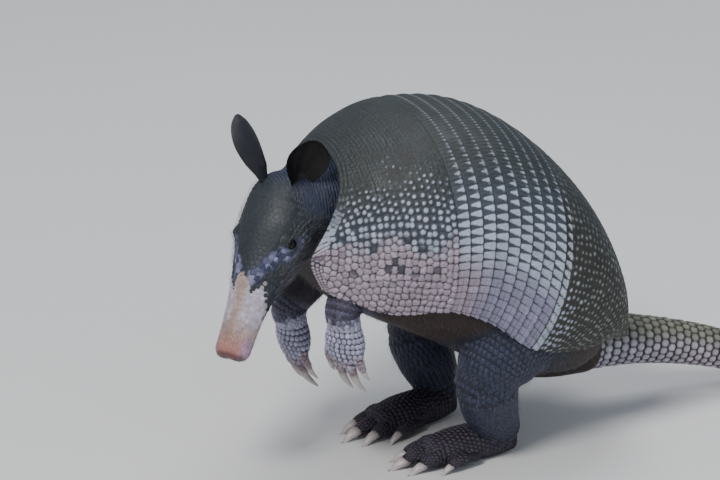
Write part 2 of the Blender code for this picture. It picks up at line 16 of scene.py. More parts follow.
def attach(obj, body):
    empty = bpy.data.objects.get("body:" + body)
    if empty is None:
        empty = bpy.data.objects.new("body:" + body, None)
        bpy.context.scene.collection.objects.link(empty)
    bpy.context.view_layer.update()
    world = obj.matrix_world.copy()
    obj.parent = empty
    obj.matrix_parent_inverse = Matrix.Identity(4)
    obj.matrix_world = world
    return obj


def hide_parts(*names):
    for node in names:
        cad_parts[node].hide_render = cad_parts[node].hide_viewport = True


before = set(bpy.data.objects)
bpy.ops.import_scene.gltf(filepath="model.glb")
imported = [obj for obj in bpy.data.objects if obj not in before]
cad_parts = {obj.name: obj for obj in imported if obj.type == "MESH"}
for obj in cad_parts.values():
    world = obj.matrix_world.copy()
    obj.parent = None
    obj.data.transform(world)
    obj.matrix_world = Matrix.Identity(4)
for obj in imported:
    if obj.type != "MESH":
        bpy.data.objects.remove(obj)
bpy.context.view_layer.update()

bl_info = {
    "name": "Armadillo looks",
    "version": (1, 0, 0),
    "blender": (4, 5, 0),
    "location": "View3D > Sidebar > Armadillo",
    "description": "Shell scutes, skin, scales, hair and stage of an armadillo",
    "category": "Add Mesh",
}

# ---- Driving sizes, in metres and degrees, in the body's own directions ----

MIDDLE = np.array((0.0, 0.1153, 0.0))  # the box's middle, where the body's own y is 0 near the hip
UP = np.array((0.0, 0.0, 1.0))
MM = 0.001
SIDES = {"left": 1, "right": -1}

PLATE = 0.0030  # thickness of the shell
BAND_COUNT = 9
BAND_LENGTH = 1.06  # length of a band over the step to the next one, which it overlaps
FRONT_GRID = (124, 440)  # points along and across the front shield
REAR_GRID = (176, 400)
BAND_GRID = (26, 600)
ROWS_INSIDE = 8  # rows of points inside a shield, which is coarser there

# Stations of the shell: (back y, back z, edge y, edge z, half width, bow)
STATIONS = {
    "before": (-0.1185, 0.194, -0.121, 0.142, 0.039, 0.0),
    "rim": (-0.0955, 0.2195, -0.103, 0.130, 0.053, 0.0),
    "shoulder": (-0.069, 0.2325, -0.074, 0.121, 0.076, 0.0),
    "first_band": (-0.0370, 0.2385, -0.038, 0.121, 0.090, 0.0),
    "waist": (0.007, 0.2330, -0.009, 0.109, 0.093, 0.003),
    "last_band": (0.0470, 0.2105, 0.020, 0.087, 0.092, 0.006),
    "rump": (0.083, 0.171, 0.047, 0.078, 0.085, 0.006),
    "croup": (0.106, 0.123, 0.075, 0.073, 0.072, 0.003),
    "tail_hole": (0.117, 0.072, 0.098, 0.070, 0.050, 0.0),
}
WIDEST_AT = 0.34  # height share at which a slice is widest
EDGE_TUCK = 0.13  # share of the half width by which the shell's edge turns in
SQUARENESS = 2.25  # power of the superellipse over the back
SLICE_SIZE = (0.125, 0.091)  # height and half width of a middling slice, for even spacing on it
LOBE_REACH = 0.95  # how far the rim bulges towards the station before it
LOBE_AT = 0.24  # height share of that lobe's middle

# Scutes of the shell, in mm. A pitch pair is the one round the body and the one along it.
FRONT_PITCH = (5.0, 4.5)
PEBBLE_PITCH = (2.9, 2.6)  # high on the back
RIM_PITCH = (3.7, 2.9)
RIM_ROWS = (7.4, 8.6)  # from the rim, where its narrow rows end
REAR_PITCH = (5.2, 4.6)
FIRST_ROW = (0.8, 6.2)  # start and length of the rear shield's first row
FIRST_ROW_PITCH = 6.3
BAND_PITCH = (5.6, 0.8)  # on the first band, and what is added by the fourth
RIDGE_PITCH = 3.3  # narrow ridges high on the bands
# Radii in mm of the front shield's pale scutes, at height shares
DOT_RADII = ([0.0, 0.34, 0.42, 0.52, 0.64, 0.74, 0.84], [2.6, 2.5, 1.95, 1.62, 1.32, 0.95, 0.4])
# Wedges of the bands, at height shares: width at the rear, width at the apex, start of the apex
WEDGE_WIDTHS = ([0.0, 0.34, 0.55, 0.72, 0.86, 1.0], [0.96, 0.95, 0.86, 0.55, 0.30, 0.2])
WEDGE_ROOTS = ([0.0, 0.22, 0.36, 0.50, 0.65], [0.95, 0.80, 0.45, 0.18, 0.0])
WEDGE_STARTS = ([0.0, 0.5, 0.75, 0.9], [0.0, 0.05, 0.5, 0.7])

# Middle of the belly under each station: (y, z)
BELLY = [
    (-0.124, 0.155),
    (-0.104, 0.124),
    (-0.074, 0.105),
    (-0.036, 0.084),
    (-0.008, 0.070),
    (0.020, 0.058),
    (0.044, 0.047),
    (0.070, 0.042),
    (0.094, 0.046),
]
UNDER_PLATE = 0.0014  # from the shell's inside to the skin

HEAD_AT = (0.008, -0.131, 0.200)
HEAD_TURN = 33.0
HEAD_NOD = 54.0
# Slices of the head from nape to nose: (along, top, bottom, half width)
HEAD_SLICES = [
    (-0.014, -0.012, -0.030, 0.0115),
    (-0.009, -0.005, -0.036, 0.0193),
    (0.002, 0.001, -0.040, 0.0255),
    (0.018, 0.002, -0.043, 0.0275),
    (0.035, 0.002, -0.041, 0.0260),
    (0.050, 0.000, -0.036, 0.0215),
    (0.065, -0.002, -0.031, 0.0170),
    (0.080, -0.004, -0.028, 0.0142),
    (0.095, -0.006, -0.027, 0.0128),
    (0.106, -0.008, -0.026, 0.0125),
    (0.112, -0.009, -0.025, 0.0118),
    (0.1155, -0.012, -0.023, 0.0090),
]
HEAD_SHIELD = (0.0055, 0.072)  # where the crown's plate starts and ends along the head
HEAD_SHIELD_HALF_ANGLE = 54.0
HEAD_SHIELD_TAPER = 0.72
HEAD_SHIELD_THICK = 0.0015
HEAD_SHIELD_GRID = (200, 150)
CROWN_PITCH = (4.0, 3.4)
# Edges of the head's colours: how far along they lie, at angles from the crown
# Middle of the painted reflection of the sky, in blue and lilac, on the scales in front of each eye
SKY_REFLECTION_ROW = ([0, 15, 60, 100], [0.0690, 0.0660, 0.0430, 0.0300])
SNOUT_EDGE = (
    [0, 12, 30, 50, 70, 85, 105, 130, 180],
    [0.062, 0.063, 0.074, 0.066, 0.068, 0.076, 0.084, 0.088, 0.089],
)
# Places on the head: along, left, up. The other side's are mirrored.
EYE_AT = (0.0346, 0.0203, -0.0092)
NOSTRIL_AT = (0.1135, 0.0048, -0.0160)
CHEEK_AT = (0.030, 0.020, -0.026)
MOUTH_UP = -0.0214
EYE_WAY = (0.18, 0.87, 0.46)  # way an eye looks: along, out, up
EYE_RADIUS = 0.0040
NECK_PATH = [(0.0, -0.086, 0.184), (0.003, -0.106, 0.183)]
NECK_END = (0.014, 0.0, -0.026)  # on the head
NECK_RADII = [(0.036, 0.032), (0.031, 0.027), (0.021, 0.018)]

EAR_LENGTH = 0.0475
EAR_HALF_WIDTH = 0.0145
EAR_THICK = 0.0014
EAR_CUP = 0.0060
EAR_ROOT = (-0.001, 0.0140, -0.006)  # on the head
# Direction of each ear and of its opening: (along, out, up)
EARS = {
    "left": ((-0.55, 0.45, 0.70), (0.20, 0.60, 0.62)),
    "right": ((-0.72, 0.46, 0.46), (0.0, 1.0, 0.12)),
}

TAIL_PATH = [
    (0.000, 0.088, 0.0525),
    (0.000, 0.138, 0.0465),
    (0.001, 0.186, 0.0355),
    (0.006, 0.240, 0.0185),
    (0.018, 0.300, 0.0083),
    (0.038, 0.360, 0.0055),
    (0.064, 0.412, 0.0026),
]
TAIL_RADII = (0.0205, 0.0165, 0.0140, 0.0115, 0.0088, 0.0060, 0.0030)
TAIL_GRID = (560, 104)
# At distances along the tail in mm: length of a ring of two rows, width of a scale, its height share
TAIL_RINGS = ([0, 120, 240, 340], [13.6, 11.6, 7.5, 4.0])
TAIL_SCALE = 5.6
TAIL_CROWDING = ([0, 200, 340], [1, 1.05, 1.6])
TAIL_HEIGHTS = ([0, 340], [1.0, 0.45])

ARMS = {
    "left": ((0.033, -0.082, 0.137), (0.042, -0.097, 0.108)),
    "right": ((-0.028, -0.082, 0.124), (-0.032, -0.103, 0.086)),
}
ARM_RADII = [(0.0150, 0.0140), (0.0125, 0.0110), (0.0112, 0.0096)]
PAWS = {
    "left": ((0.00, 0.05, -1.00), (0.35, -0.94, 0.00)),
    "right": ((-0.02, 0.12, -0.99), (0.10, -0.99, 0.00)),
}
PALM_LENGTH = 0.022
PALM_RADII = [(0.0115, 0.0095), (0.0145, 0.0100), (0.0155, 0.0090), (0.0130, 0.0065)]
# Digits: (across, start, length, radius, claw length, claw radius)
FINGERS = [
    (-0.0115, 0.015, 0.014, 0.0033, 0.010, 0.0020),
    (-0.0040, 0.019, 0.014, 0.0042, 0.020, 0.0030),
    (0.0042, 0.019, 0.014, 0.0044, 0.021, 0.0032),
    (0.0122, 0.014, 0.015, 0.0033, 0.012, 0.0022),
]
DIGIT_SPREAD = 14.0
DIGIT_ROOT = 0.008  # length of a digit inside the paw
DIGIT_SHAPE = [(0.9, 0.9), (1.05, 1.0), (1.0, 0.95), (0.8, 0.75)]
DIGIT_SLIM = {"fore": 0.80, "hind": 0.95}  # share of a digit's radius that the skin takes
PAW_DROOP = 0.004
FOOT_DROOP = 0.006
TOE_ROOT_Z = 0.0065
THIGHS = {
    "left": [(0.042, 0.040, 0.092), (0.054, 0.020, 0.086), (0.059, 0.005, 0.073), (0.059, -0.003, 0.060)],
    "right": [
        (-0.042, 0.038, 0.092),
        (-0.052, 0.019, 0.082),
        (-0.055, 0.009, 0.068),
        (-0.052, -0.001, 0.056),
    ],
}
THIGH_RADII = [(0.022, 0.034), (0.024, 0.034), (0.022, 0.0290), (0.018, 0.0215)]
SHANKS = {
    "left": [(0.058, 0.000, 0.054), (0.052, 0.005, 0.038), (0.044, 0.015, 0.020)],
    "right": [(-0.050, 0.000, 0.050), (-0.043, 0.003, 0.036), (-0.036, 0.009, 0.019)],
}
SHANK_RADII = [(0.0190, 0.0215), (0.0175, 0.0195), (0.0140, 0.0150)]
FEET = {
    # side: (heel, way the foot points)
    "left": ((0.042, 0.026, 0.010), (0.02, -1.00, 0.0)),
    "right": ((-0.033, 0.015, 0.010), (0.22, -0.98, 0.0)),
}
SOLE_LENGTH = 0.058
SOLE_RADII = [(0.010, 0.009), (0.0125, 0.012), (0.015, 0.012), (0.0165, 0.0105), (0.013, 0.0075)]
TOES = [
    (-0.0155, 0.043, 0.017, 0.0042, 0.012, 0.0032),
    (-0.0085, 0.052, 0.021, 0.0050, 0.015, 0.0040),
    (0.0000, 0.055, 0.024, 0.0054, 0.016, 0.0043),
    (0.0085, 0.051, 0.021, 0.0050, 0.015, 0.0040),
    (0.0160, 0.041, 0.015, 0.0040, 0.011, 0.0030),
]

# The skin between the thighs, and a collar of skin over the tail's root
GROIN_PATH = [(-0.045, 0.014, 0.078), (0.0, 0.009, 0.073), (0.045, 0.014, 0.080)]
GROIN_RADII = [(0.014, 0.016), (0.014, 0.016), (0.014, 0.016)]
COLLAR_STEPS = (-0.034, -0.012, 0.007)  # along the tail from its root
COLLAR_RADII = [(0.0235, 0.0235), (0.0240, 0.0240), (0.0222, 0.0222)]
VOXEL = 0.00158  # size of the skin's faces before the head and paws are made finer
COARSE_RATIO = 0.45  # share of the skin's faces that stay when the hidden ones are made coarse

# Scales on the skin: pitch, first and last share of the loft, height share, colour and slot
SCALES = {
    "head": (0.0031, 0.10, 0.86, 0.55, "snout_pale", "head_hide"),
    "palm": (0.0036, 0.05, 0.98, 1.0, "paw_hide", "paw_hide"),
    "arm": (0.0036, 0.40, 1.0, 1.0, "paw_hide", "paw_hide"),
    "sole": (0.0034, 0.10, 0.98, 1.0, "foot_scale", "leg_hide"),
    "shank": (0.0036, 0.05, 0.95, 0.55, "leg_scale", "leg_hide"),
    "thigh": (0.0040, 0.15, 0.95, 0.55, "leg_scale", "leg_hide"),
    "digit_fore": (0.0027, 0.30, 0.86, 1.0, "finger_hide", "paw_hide"),
    "digit_hind": (0.0028, 0.30, 0.86, 1.0, "foot_scale", "leg_hide"),
}
SCALE_FLOOR = 0.0045  # no scales lie lower than this
SCALE_REACH = 0.0030  # farthest that a scale moves from its loft to the skin
UNWRAP_CELLS = 8  # along each side of the scales' unwrap
HAIR_WIDTH = 0.00014
HAIR_LENGTHS = (0.0042, 0.0062)  # on the body, and on the legs
HAIR_LIE = (0.0, 0.35, -0.9)  # way that hair lies on the body
FACE_HAIR = 1.6  # how much longer hair is on the head
PATCH = 0.003  # size of each scale's and hair's patch on the unwrap

# The camera stands to the left and front, and aims beside the body so that it lies to the right.
CAMERA_AZIMUTH = 66.0
CAMERA_ELEVATION = 20.0
CAMERA_DISTANCE = 3.0
CAMERA_LENS = 220.6
CAMERA_AIM = (-0.0612, 0.1308)  # right and up of the body's own origin, in the view's directions
FLOOR_RINGS = (0.6, 2.0, 9.0)
FLOOR_DROP = 0.0001  # under the feet
LAMP_AIM = (0.0, 0.0, 0.12)
SKY_POWER = 0.42


# ---- Arithmetic ----


def unit(vector):
    """The vector or vectors at length 1."""
    vector = np.asarray(vector, float)
    return vector / np.maximum(np.linalg.norm(vector, axis=-1, keepdims=True), 1e-12)


def ease(value, low, high):
    """0 below low, 1 above high, and 3t^2 - 2t^3 between. It runs backwards where high is the lower."""
    share = np.clip((value - low) / (high - low), 0, 1)
    return share * share * (3 - 2 * share)


def blend(first, second, share):
    """The first at share 0 and the second at share 1, for numbers or for colours."""
    first, second = np.asarray(first, float), np.asarray(second, float)
    if max(first.ndim, second.ndim) and (first.shape[-1:] == (3,) or second.shape[-1:] == (3,)):
        share = np.asarray(share)[..., None]
    return first + (second - first) * share


def smooth_curve(points, shares):
    """A Catmull-Rom curve through the points, at these shares (0 to 1) of its way."""
    points = np.asarray(points, float)
    points = np.vstack([2 * points[0] - points[1], points, 2 * points[-1] - points[-2]])
    place = np.clip(shares, 0, 1) * (len(points) - 3)
    first = np.minimum(place.astype(int), len(points) - 4)
    f = (place - first)[:, None]
    a, b, c, d = (points[first + step] for step in range(4))
    bend = (2 * a - 5 * b + 4 * c - d) * f**2 + (3 * b - a - 3 * c + d) * f**3
    return (2 * b + (c - a) * f + bend) / 2


def chance(i, j, seed):
    """A number from 0 to 1 for each pair of whole numbers: the fraction of a large sine."""
    return np.mod(np.sin(i * 12.9898 + j * 78.233 + seed * 37.719) * 43758.5453, 1.0)


def waves(a, b, length, seed=0.0):
    """A smooth uneven field from -1 to 1: four sine waves of about this length, each turned."""
    total = 0.0
    for k in range(4):
        turn = 0.7 + 1.9 * k + seed
        scale = 2 * math.pi / length * (0.7 + 0.23 * k)
        total = total + np.sin((a * math.cos(turn) + b * math.sin(turn)) * scale + 2.4 * k + seed)
    return total / 4


def lattice(u, v, pitches, jitter=0.0, seed=0.0, measure=(1.0, 0.0, 1.0)):
    """Distances to the nearest and the second nearest point of a staggered lattice in the plane,
    and a random number for the nearest. Each point may stray by a share of the pitches. The measure
    holds E, F and G of the length E du^2 + 2 F du dv + G dv^2, so that round cells stay round."""
    near = np.full(u.shape, np.inf)
    second = np.full(u.shape, np.inf)
    tone = np.zeros(u.shape)
    wide, skew, tall = measure
    pitch, row = pitches
    for down in (-1, 0, 1):
        i = np.floor(v / row) + down
        stagger = 0.5 * np.mod(i, 2)
        for beside in (-1, 0, 1):
            j = np.floor(u / pitch - stagger) + beside
            across = u - (j + 0.5 + stagger + jitter * (chance(i, j, seed) - 0.5)) * pitch
            along = v - (i + 0.5 + jitter * (chance(i, j, seed + 1) - 0.5)) * row
            square = wide * across**2 + 2 * skew * across * along + tall * along**2
            gap = np.sqrt(np.maximum(square, 0))
            closer = gap < near
            second = np.where(closer, near, np.minimum(second, gap))
            near = np.where(closer, gap, near)
            tone = np.where(closer, chance(i, j, seed + 2), tone)
    return near, second, tone


def measure_of(points, u, v):
    """E, F and G of a surface in terms of two distances on it in mm, from the slopes of its grid."""
    by_row, by_column = (np.gradient(points / MM, axis=axis) for axis in (0, 1))
    u_row, u_column = (np.gradient(u, axis=axis)[..., None] for axis in (0, 1))
    v_row, v_column = (np.gradient(v, axis=axis)[..., None] for axis in (0, 1))
    area = u_row * v_column - u_column * v_row
    area = np.where(np.abs(area) < 1e-6, 1e-6, area)
    of_u = (by_row * v_column - by_column * v_row) / area
    of_v = (by_column * u_row - by_row * u_column) / area
    pairs = ((of_u, of_u), (of_u, of_v), (of_v, of_v))
    return tuple(np.clip((a * b).sum(axis=-1), -4.0, 4.0) for a, b in pairs)


def circle(count):
    """Evenly spaced angles once round."""
    return np.linspace(0, 2 * math.pi, count, endpoint=False)


def lengths(points, axis):
    """Distance run along one axis of a grid of points, from 0."""
    steps = np.linalg.norm(np.diff(points, axis=axis), axis=-1)
    run = np.cumsum(steps, axis=axis)
    pad = [(0, 0), (0, 0)]
    pad[axis] = (1, 0)
    return np.pad(run, pad)


# ---- Meshes ----


def new_object(name, points, quads, tris=(), values=None, slot=None, finish=None):
    """A mesh object from arrays. Values are kept as attributes of its points."""
    points = np.asarray(points, float).reshape(-1, 3) - MIDDLE
    quads = np.asarray(quads, np.int32).reshape(-1, 4)
    tris = np.asarray(tris, np.int32).reshape(-1, 3)
    corners = np.concatenate([quads.ravel(), tris.ravel()])
    sizes = np.concatenate([np.full(len(quads), 4), np.full(len(tris), 3)])
    mesh = bpy.data.meshes.new(name)
    mesh.vertices.add(len(points))
    mesh.vertices.foreach_set("co", points.astype(np.float32).ravel())
    mesh.loops.add(len(corners))
    mesh.loops.foreach_set("vertex_index", corners.astype(np.int32))
    mesh.polygons.add(len(sizes))
    starts = np.concatenate([[0], np.cumsum(sizes)[:-1]]).astype(np.int32)
    mesh.polygons.foreach_set("loop_start", starts)
    mesh.update(calc_edges=True)
    mesh.validate()
    mesh.shade_smooth()
    set_values(mesh, values or {})
    made = bpy.data.objects.new(name, mesh)
    bpy.context.scene.collection.objects.link(made)
    if finish:
        mesh.materials.append(finish)
    if slot:
        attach(made, "root")
    return made


def set_values(mesh, values):
    """Keeps arrays as attributes of the mesh's points: colours where they have three numbers."""
    for name, array in values.items():
        array = np.asarray(array, np.float32)
        if array.ndim and array.shape[-1] == 3 and array.size == 3 * len(mesh.vertices):
            held = mesh.attributes.new(name, "FLOAT_COLOR", "POINT")
            held.data.foreach_set("color", np.c_[array.reshape(-1, 3), np.ones(len(mesh.vertices))].ravel())
        else:
            held = mesh.attributes.new(name, "FLOAT", "POINT")
            held.data.foreach_set("value", array.ravel())


def quads_between(index):
    """Faces between neighbouring points of a grid of point numbers."""
    corners = [index[:-1, :-1], index[:-1, 1:], index[1:, 1:], index[1:, :-1]]
    return np.stack(corners, axis=-1).reshape(-1, 4)


def fan(ring, middle, flip=False):
    """Triangles from a closed ring of points to one middle point."""
    after = np.roll(ring, -1)
    pair = (after, ring) if flip else (ring, after)
    return np.stack([*pair, np.full(len(ring), middle)], axis=-1)


def tube_faces(count, around, loop=False):
    """Quads of a tube of rings, and a fan over each end. A loop joins its last ring to its first."""
    index = np.arange(count * around).reshape(count, around)
    ends = np.vstack([fan(index[0], count * around, True), fan(index[-1], count * around + 1)])
    if loop:
        index = np.vstack([index, index[:1]])
        ends = ends[:0]
    return quads_between(np.hstack([index, index[:, :1]])), ends


def capped(rings):
    """The points of a tube's rings, and the middle of each end."""
    return np.vstack([rings.reshape(-1, 3), rings[0].mean(axis=0), rings[-1].mean(axis=0)])


def tube(name, rings, **looks):
    """A closed tube through rings of points (ring, point, xyz), each end a fan."""
    made = new_object(name, capped(rings), *tube_faces(*rings.shape[:2]), **looks)
    face_outwards(made.data)
    return made


def edited(mesh, change):
    """Opens the mesh for editing, makes the change and closes it again."""
    edit = bmesh.new()
    edit.from_mesh(mesh)
    change(edit)
    edit.to_mesh(mesh)
    edit.free()


def face_outwards(mesh):
    """Turns every face of a closed mesh outwards."""
    edited(mesh, lambda edit: bmesh.ops.recalc_face_normals(edit, faces=edit.faces))


def plate(name, outside, inside, values, slot):
    """A closed plate of horn between a fine grid outside and a coarse one inside with the same columns.
    The two grids form one loop of rows. Triangles close the loop at its first and last column."""
    rows, columns = outside.shape[:2]
    under = inside.shape[0]
    loop = np.concatenate([outside, inside[::-1]])
    index = np.arange(loop.shape[0] * columns).reshape(-1, columns)
    quads = quads_between(np.vstack([index, index[:1]]))
    lower = rows + under - 1 - (np.arange(rows) * (under - 1) / (rows - 1)).round().astype(int)
    caps = []
    for column, flip in ((0, False), (columns - 1, True)):
        top, low = index[:rows, column], index[lower, column]
        tris = np.vstack([
            np.stack([top[:-1], top[1:], low[:-1]], axis=-1),
            np.stack([top[1:], low[1:], low[:-1]], axis=-1)[low[1:] != low[:-1]],
        ])
        caps.append(tris[:, ::-1] if flip else tris)
    back = np.linspace(rows - 1, 0, under).round().astype(int)
    full = {key: np.concatenate([array, array[back]]) for key, array in values.items()}
    made = new_object(name, loop, quads, np.vstack(caps), full, slot, finishes["horn"])
    face_outwards(made.data)
    return made


# ---- Materials ----


def linear(code):
    """Linear colour of an sRGB hex code."""
    values = np.array([int(code[k : k + 2], 16) for k in (1, 3, 5)]) / 255
    return np.where(values > 0.04045, ((values + 0.055) / 1.055) ** 2.4, values / 12.92)


def add(tree, kind, inputs=None, out=0, **settings):
    """Adds a shader node with its settings, and its inputs as values or links. Returns one output."""
    made = tree.nodes.new("ShaderNode" + kind)
    for key, value in settings.items():
        setattr(made, key, value)
    for key, value in (inputs or {}).items():
        if isinstance(value, bpy.types.NodeSocket):
            tree.links.new(value, made.inputs[key])
        else:
            made.inputs[key].default_value = value
    return made.outputs[out]


def new_material(name, roughness, ior=1.5, **shader):
    """A material with one Principled shader: returns the material, its tree and the shader."""
    made = bpy.data.materials.new(name)
    made.use_nodes = True
    surface = made.node_tree.nodes["Principled BSDF"]
    surface.inputs["Roughness"].default_value = roughness
    surface.inputs["IOR"].default_value = ior
    for key, value in shader.items():
        surface.inputs[key.replace("_", " ")].default_value = value
    return made, made.node_tree, surface


def times(tree, colour, level):
    """The colour times a grey level."""
    grey = add(tree, "CombineColor", dict.fromkeys(("Red", "Green", "Blue"), level))
    return add(tree, "Mix", {0: 1.0, 6: colour, 7: grey}, 2, data_type="RGBA", blend_type="MULTIPLY")


def mottled(tree, place, colour, amount, length, seed=0.0):
    """The colour made lighter and darker by noise of this length in metres."""
    inputs = {"Vector": place, "Scale": 1 / length, "Detail": 4.0, "W": seed}
    noise = add(tree, "TexNoise", inputs, noise_dimensions="4D")
    inputs = {"Value": noise, "From Min": 0.3, "From Max": 0.7}
    level = add(tree, "MapRange", {**inputs, "To Min": 1 - amount, "To Max": 1 + amount})
    return times(tree, colour, level)


def sources(tree):
    """The sockets that most materials start from: the place on the object, and its markings."""
    place = add(tree, "TexCoord", out="Object")
    return place, add(tree, "Attribute", attribute_name="Markings")


def horn_material():
    """Keratin scutes over bone, worn to a satin. Fine growth grain and pits break the gloss, and
    soil stays in the grooves. The markings come with the plates as an attribute."""
    made, tree, surface = new_material("Horn, worn keratin", 0.5, 1.54, Specular_IOR_Level=0.36)
    place, marks = sources(tree)
    groove = add(tree, "Attribute", out="Fac", attribute_name="Groove")
    colour = mottled(tree, place, marks, 0.20, 0.0016)
    colour = mottled(tree, place, colour, 0.12, 0.022, 3.0)
    soil = add(tree, "TexNoise", {"Vector": place, "Scale": 90.0, "Detail": 5.0})
    dust = add(tree, "MapRange", {"Value": soil, "From Min": 0.50, "From Max": 0.85})
    held = add(tree, "Math", {0: groove, 1: dust}, operation="MULTIPLY", use_clamp=True)
    brown = (*linear("#4a3f34"), 1.0)
    colour = add(tree, "Mix", {0: held, 6: colour, 7: brown}, 2, data_type="RGBA")
    tree.links.new(colour, surface.inputs["Base Color"])
    worn = {"From Min": 0.3, "From Max": 0.7, "To Min": 0.44, "To Max": 0.66}
    rough = add(tree, "MapRange", {"Value": soil, **worn})
    tree.links.new(rough, surface.inputs["Roughness"])
    # Growth lines and pits are about 0.5 mm, drawn a little coarse.
    grain = add(tree, "TexNoise", {"Vector": place, "Scale": 1500.0, "Detail": 3.0})
    pits = add(tree, "TexVoronoi", {"Vector": place, "Scale": 900.0})
    relief = add(tree, "Math", {0: grain, 1: pits}, operation="ADD")
    bump = add(tree, "Bump", {"Height": relief, "Strength": 0.35, "Distance": 0.00025})
    tree.links.new(bump, surface.inputs["Normal"])
    return made


def hide_material():
    """Thin armadillo hide: matte, leathery, in small hexagonal wrinkles with a few larger folds.
    The region colours come with the skin as an attribute."""
    depth = {"Subsurface_Radius": (1.0, 0.45, 0.3), "Subsurface_Scale": 0.002}
    made, tree, surface = new_material(
        "Hide, bare wrinkled skin", 0.55, 1.42, Subsurface_Weight=0.12, **depth
    )
    place, marks = sources(tree)
    scaly = add(tree, "Attribute", out="Fac", attribute_name="Scaly")
    colour = mottled(tree, place, marks, 0.22, 0.0035)
    colour = mottled(tree, place, colour, 0.15, 0.016, 5.0)
    # Wrinkles enclose cells of about 1.6 mm on the bare skin and 3.5 mm where it is scaly.
    fine = add(tree, "TexVoronoi", {"Vector": place, "Scale": 620.0}, feature="DISTANCE_TO_EDGE")
    big = add(tree, "TexVoronoi", {"Vector": place, "Scale": 290.0}, feature="DISTANCE_TO_EDGE")
    fine_rise = add(tree, "MapRange", {"Value": fine, "From Max": 0.14})
    big_rise = add(tree, "MapRange", {"Value": big, "From Max": 0.12})
    cells = add(tree, "Mix", {0: scaly, 2: fine_rise, 3: big_rise})
    wrinkled = add(tree, "Attribute", out="Fac", attribute_name="Wrinkles")
    rise = add(tree, "Mix", {0: wrinkled, 2: 1.0, 3: cells})
    # Painted shade: the colour darkens to 0.62 in the creases of the wrinkles, less where the skin is less
    # wrinkled.
    colour = times(tree, colour, add(tree, "MapRange", {"Value": rise, "To Min": 0.62, "To Max": 1.0}))
    grain = add(tree, "TexNoise", {"Vector": place, "Scale": 1800.0, "Detail": 3.0})
    height = add(tree, "Math", {0: grain, 1: 0.4, 2: rise}, operation="MULTIPLY_ADD")
    # The neck is pleated: folds of about 2 mm run parallel to the shell's rim.
    folds = add(tree, "Attribute", out="Fac", attribute_name="Folds")
    inputs = {"Vector": place, "Scale": 160.0, "Distortion": 5.0, "Detail": 2.0, "Detail Scale": 0.6}
    pleat = add(tree, "TexWave", inputs, "Fac", bands_direction="Y")
    deep = add(tree, "Math", {0: pleat, 1: folds}, operation="MULTIPLY")
    height = add(tree, "Math", {0: deep, 1: 2.2, 2: height}, operation="MULTIPLY_ADD")
    # Painted highlight: the ridges of the pleats are lighter, up to 1.75 times.
    pleat_highlight = add(tree, "MapRange", {"Value": deep, "To Min": 1.0, "To Max": 1.75})
    tree.links.new(times(tree, colour, pleat_highlight), surface.inputs["Base Color"])
    bump = add(tree, "Bump", {"Height": height, "Strength": 0.5, "Distance": 0.0004})
    tree.links.new(bump, surface.inputs["Normal"])
    rough = add(tree, "MapRange", {"Value": rise, "To Min": 0.72, "To Max": 0.46})
    tree.links.new(rough, surface.inputs["Roughness"])
    return made


def claw_material():
    """Claw horn: pale and slightly clear, smooth along its length, darker and stained at the root."""
    depth = {"Subsurface_Radius": (1.0, 0.7, 0.5), "Subsurface_Scale": 0.0015}
    made, tree, surface = new_material("Claw, pale keratin", 0.32, 1.54, Subsurface_Weight=0.15, **depth)
    place, marks = sources(tree)
    tree.links.new(mottled(tree, place, marks, 0.14, 0.0022), surface.inputs["Base Color"])
    grain = add(tree, "TexNoise", {"Vector": place, "Scale": 1400.0, "Detail": 3.0})
    bump = add(tree, "Bump", {"Height": grain, "Strength": 0.25, "Distance": 0.0002})
    tree.links.new(bump, surface.inputs["Normal"])
    return made


def eye_material():
    """A wet black eye: its clear coat gives one sharp highlight over a nearly black iris."""
    coat = {"Coat_Weight": 0.25, "Coat_Roughness": 0.02}
    made, tree, surface = new_material("Eye, wet black", 0.05, 1.33, Specular_IOR_Level=0.35, **coat)
    place = add(tree, "TexCoord", out="Object")
    iris = add(tree, "RGB")
    iris.default_value = (*linear("#050405"), 1.0)
    tree.links.new(mottled(tree, place, iris, 0.3, 0.001), surface.inputs["Base Color"])
    return made


def hair_material():
    """Sparse stiff hair: pale, smooth and a little glossy. Its colour comes with each hair."""
    made, tree, surface = new_material("Hair, sparse and stiff", 0.45, 1.55)
    place, marks = sources(tree)
    tree.links.new(mottled(tree, place, marks, 0.2, 0.004), surface.inputs["Base Color"])
    return made


# ---- Shell ----


def station_share(name):
    """Where a station lies along the shell, from 0 at the first to 1 at the last."""
    return list(STATIONS).index(name) / (len(STATIONS) - 1)


def slice_profile(count):
    """Height and width shares of a slice, evenly spaced along it: a superellipse over the back, and
    a parabola that turns in below the widest line."""
    turn = np.linspace(0, math.pi / 2, 240)
    up = WIDEST_AT + (1 - WIDEST_AT) * np.cos(turn) ** (2 / SQUARENESS)
    out = np.sin(turn) ** (2 / SQUARENESS)
    down = np.linspace(0, 1, 120)[1:]
    height = np.concatenate([up, WIDEST_AT * (1 - down)])
    width = np.concatenate([out, 1 - EDGE_TUCK * down**2])
    step = np.hypot(np.diff(height) * SLICE_SIZE[0], np.diff(width) * SLICE_SIZE[1])
    length = np.concatenate([[0], np.cumsum(step)])
    places = np.linspace(-length[-1], length[-1], count)
    height = np.interp(np.abs(places), length, height)
    return height, np.interp(np.abs(places), length, width) * -np.sign(places)


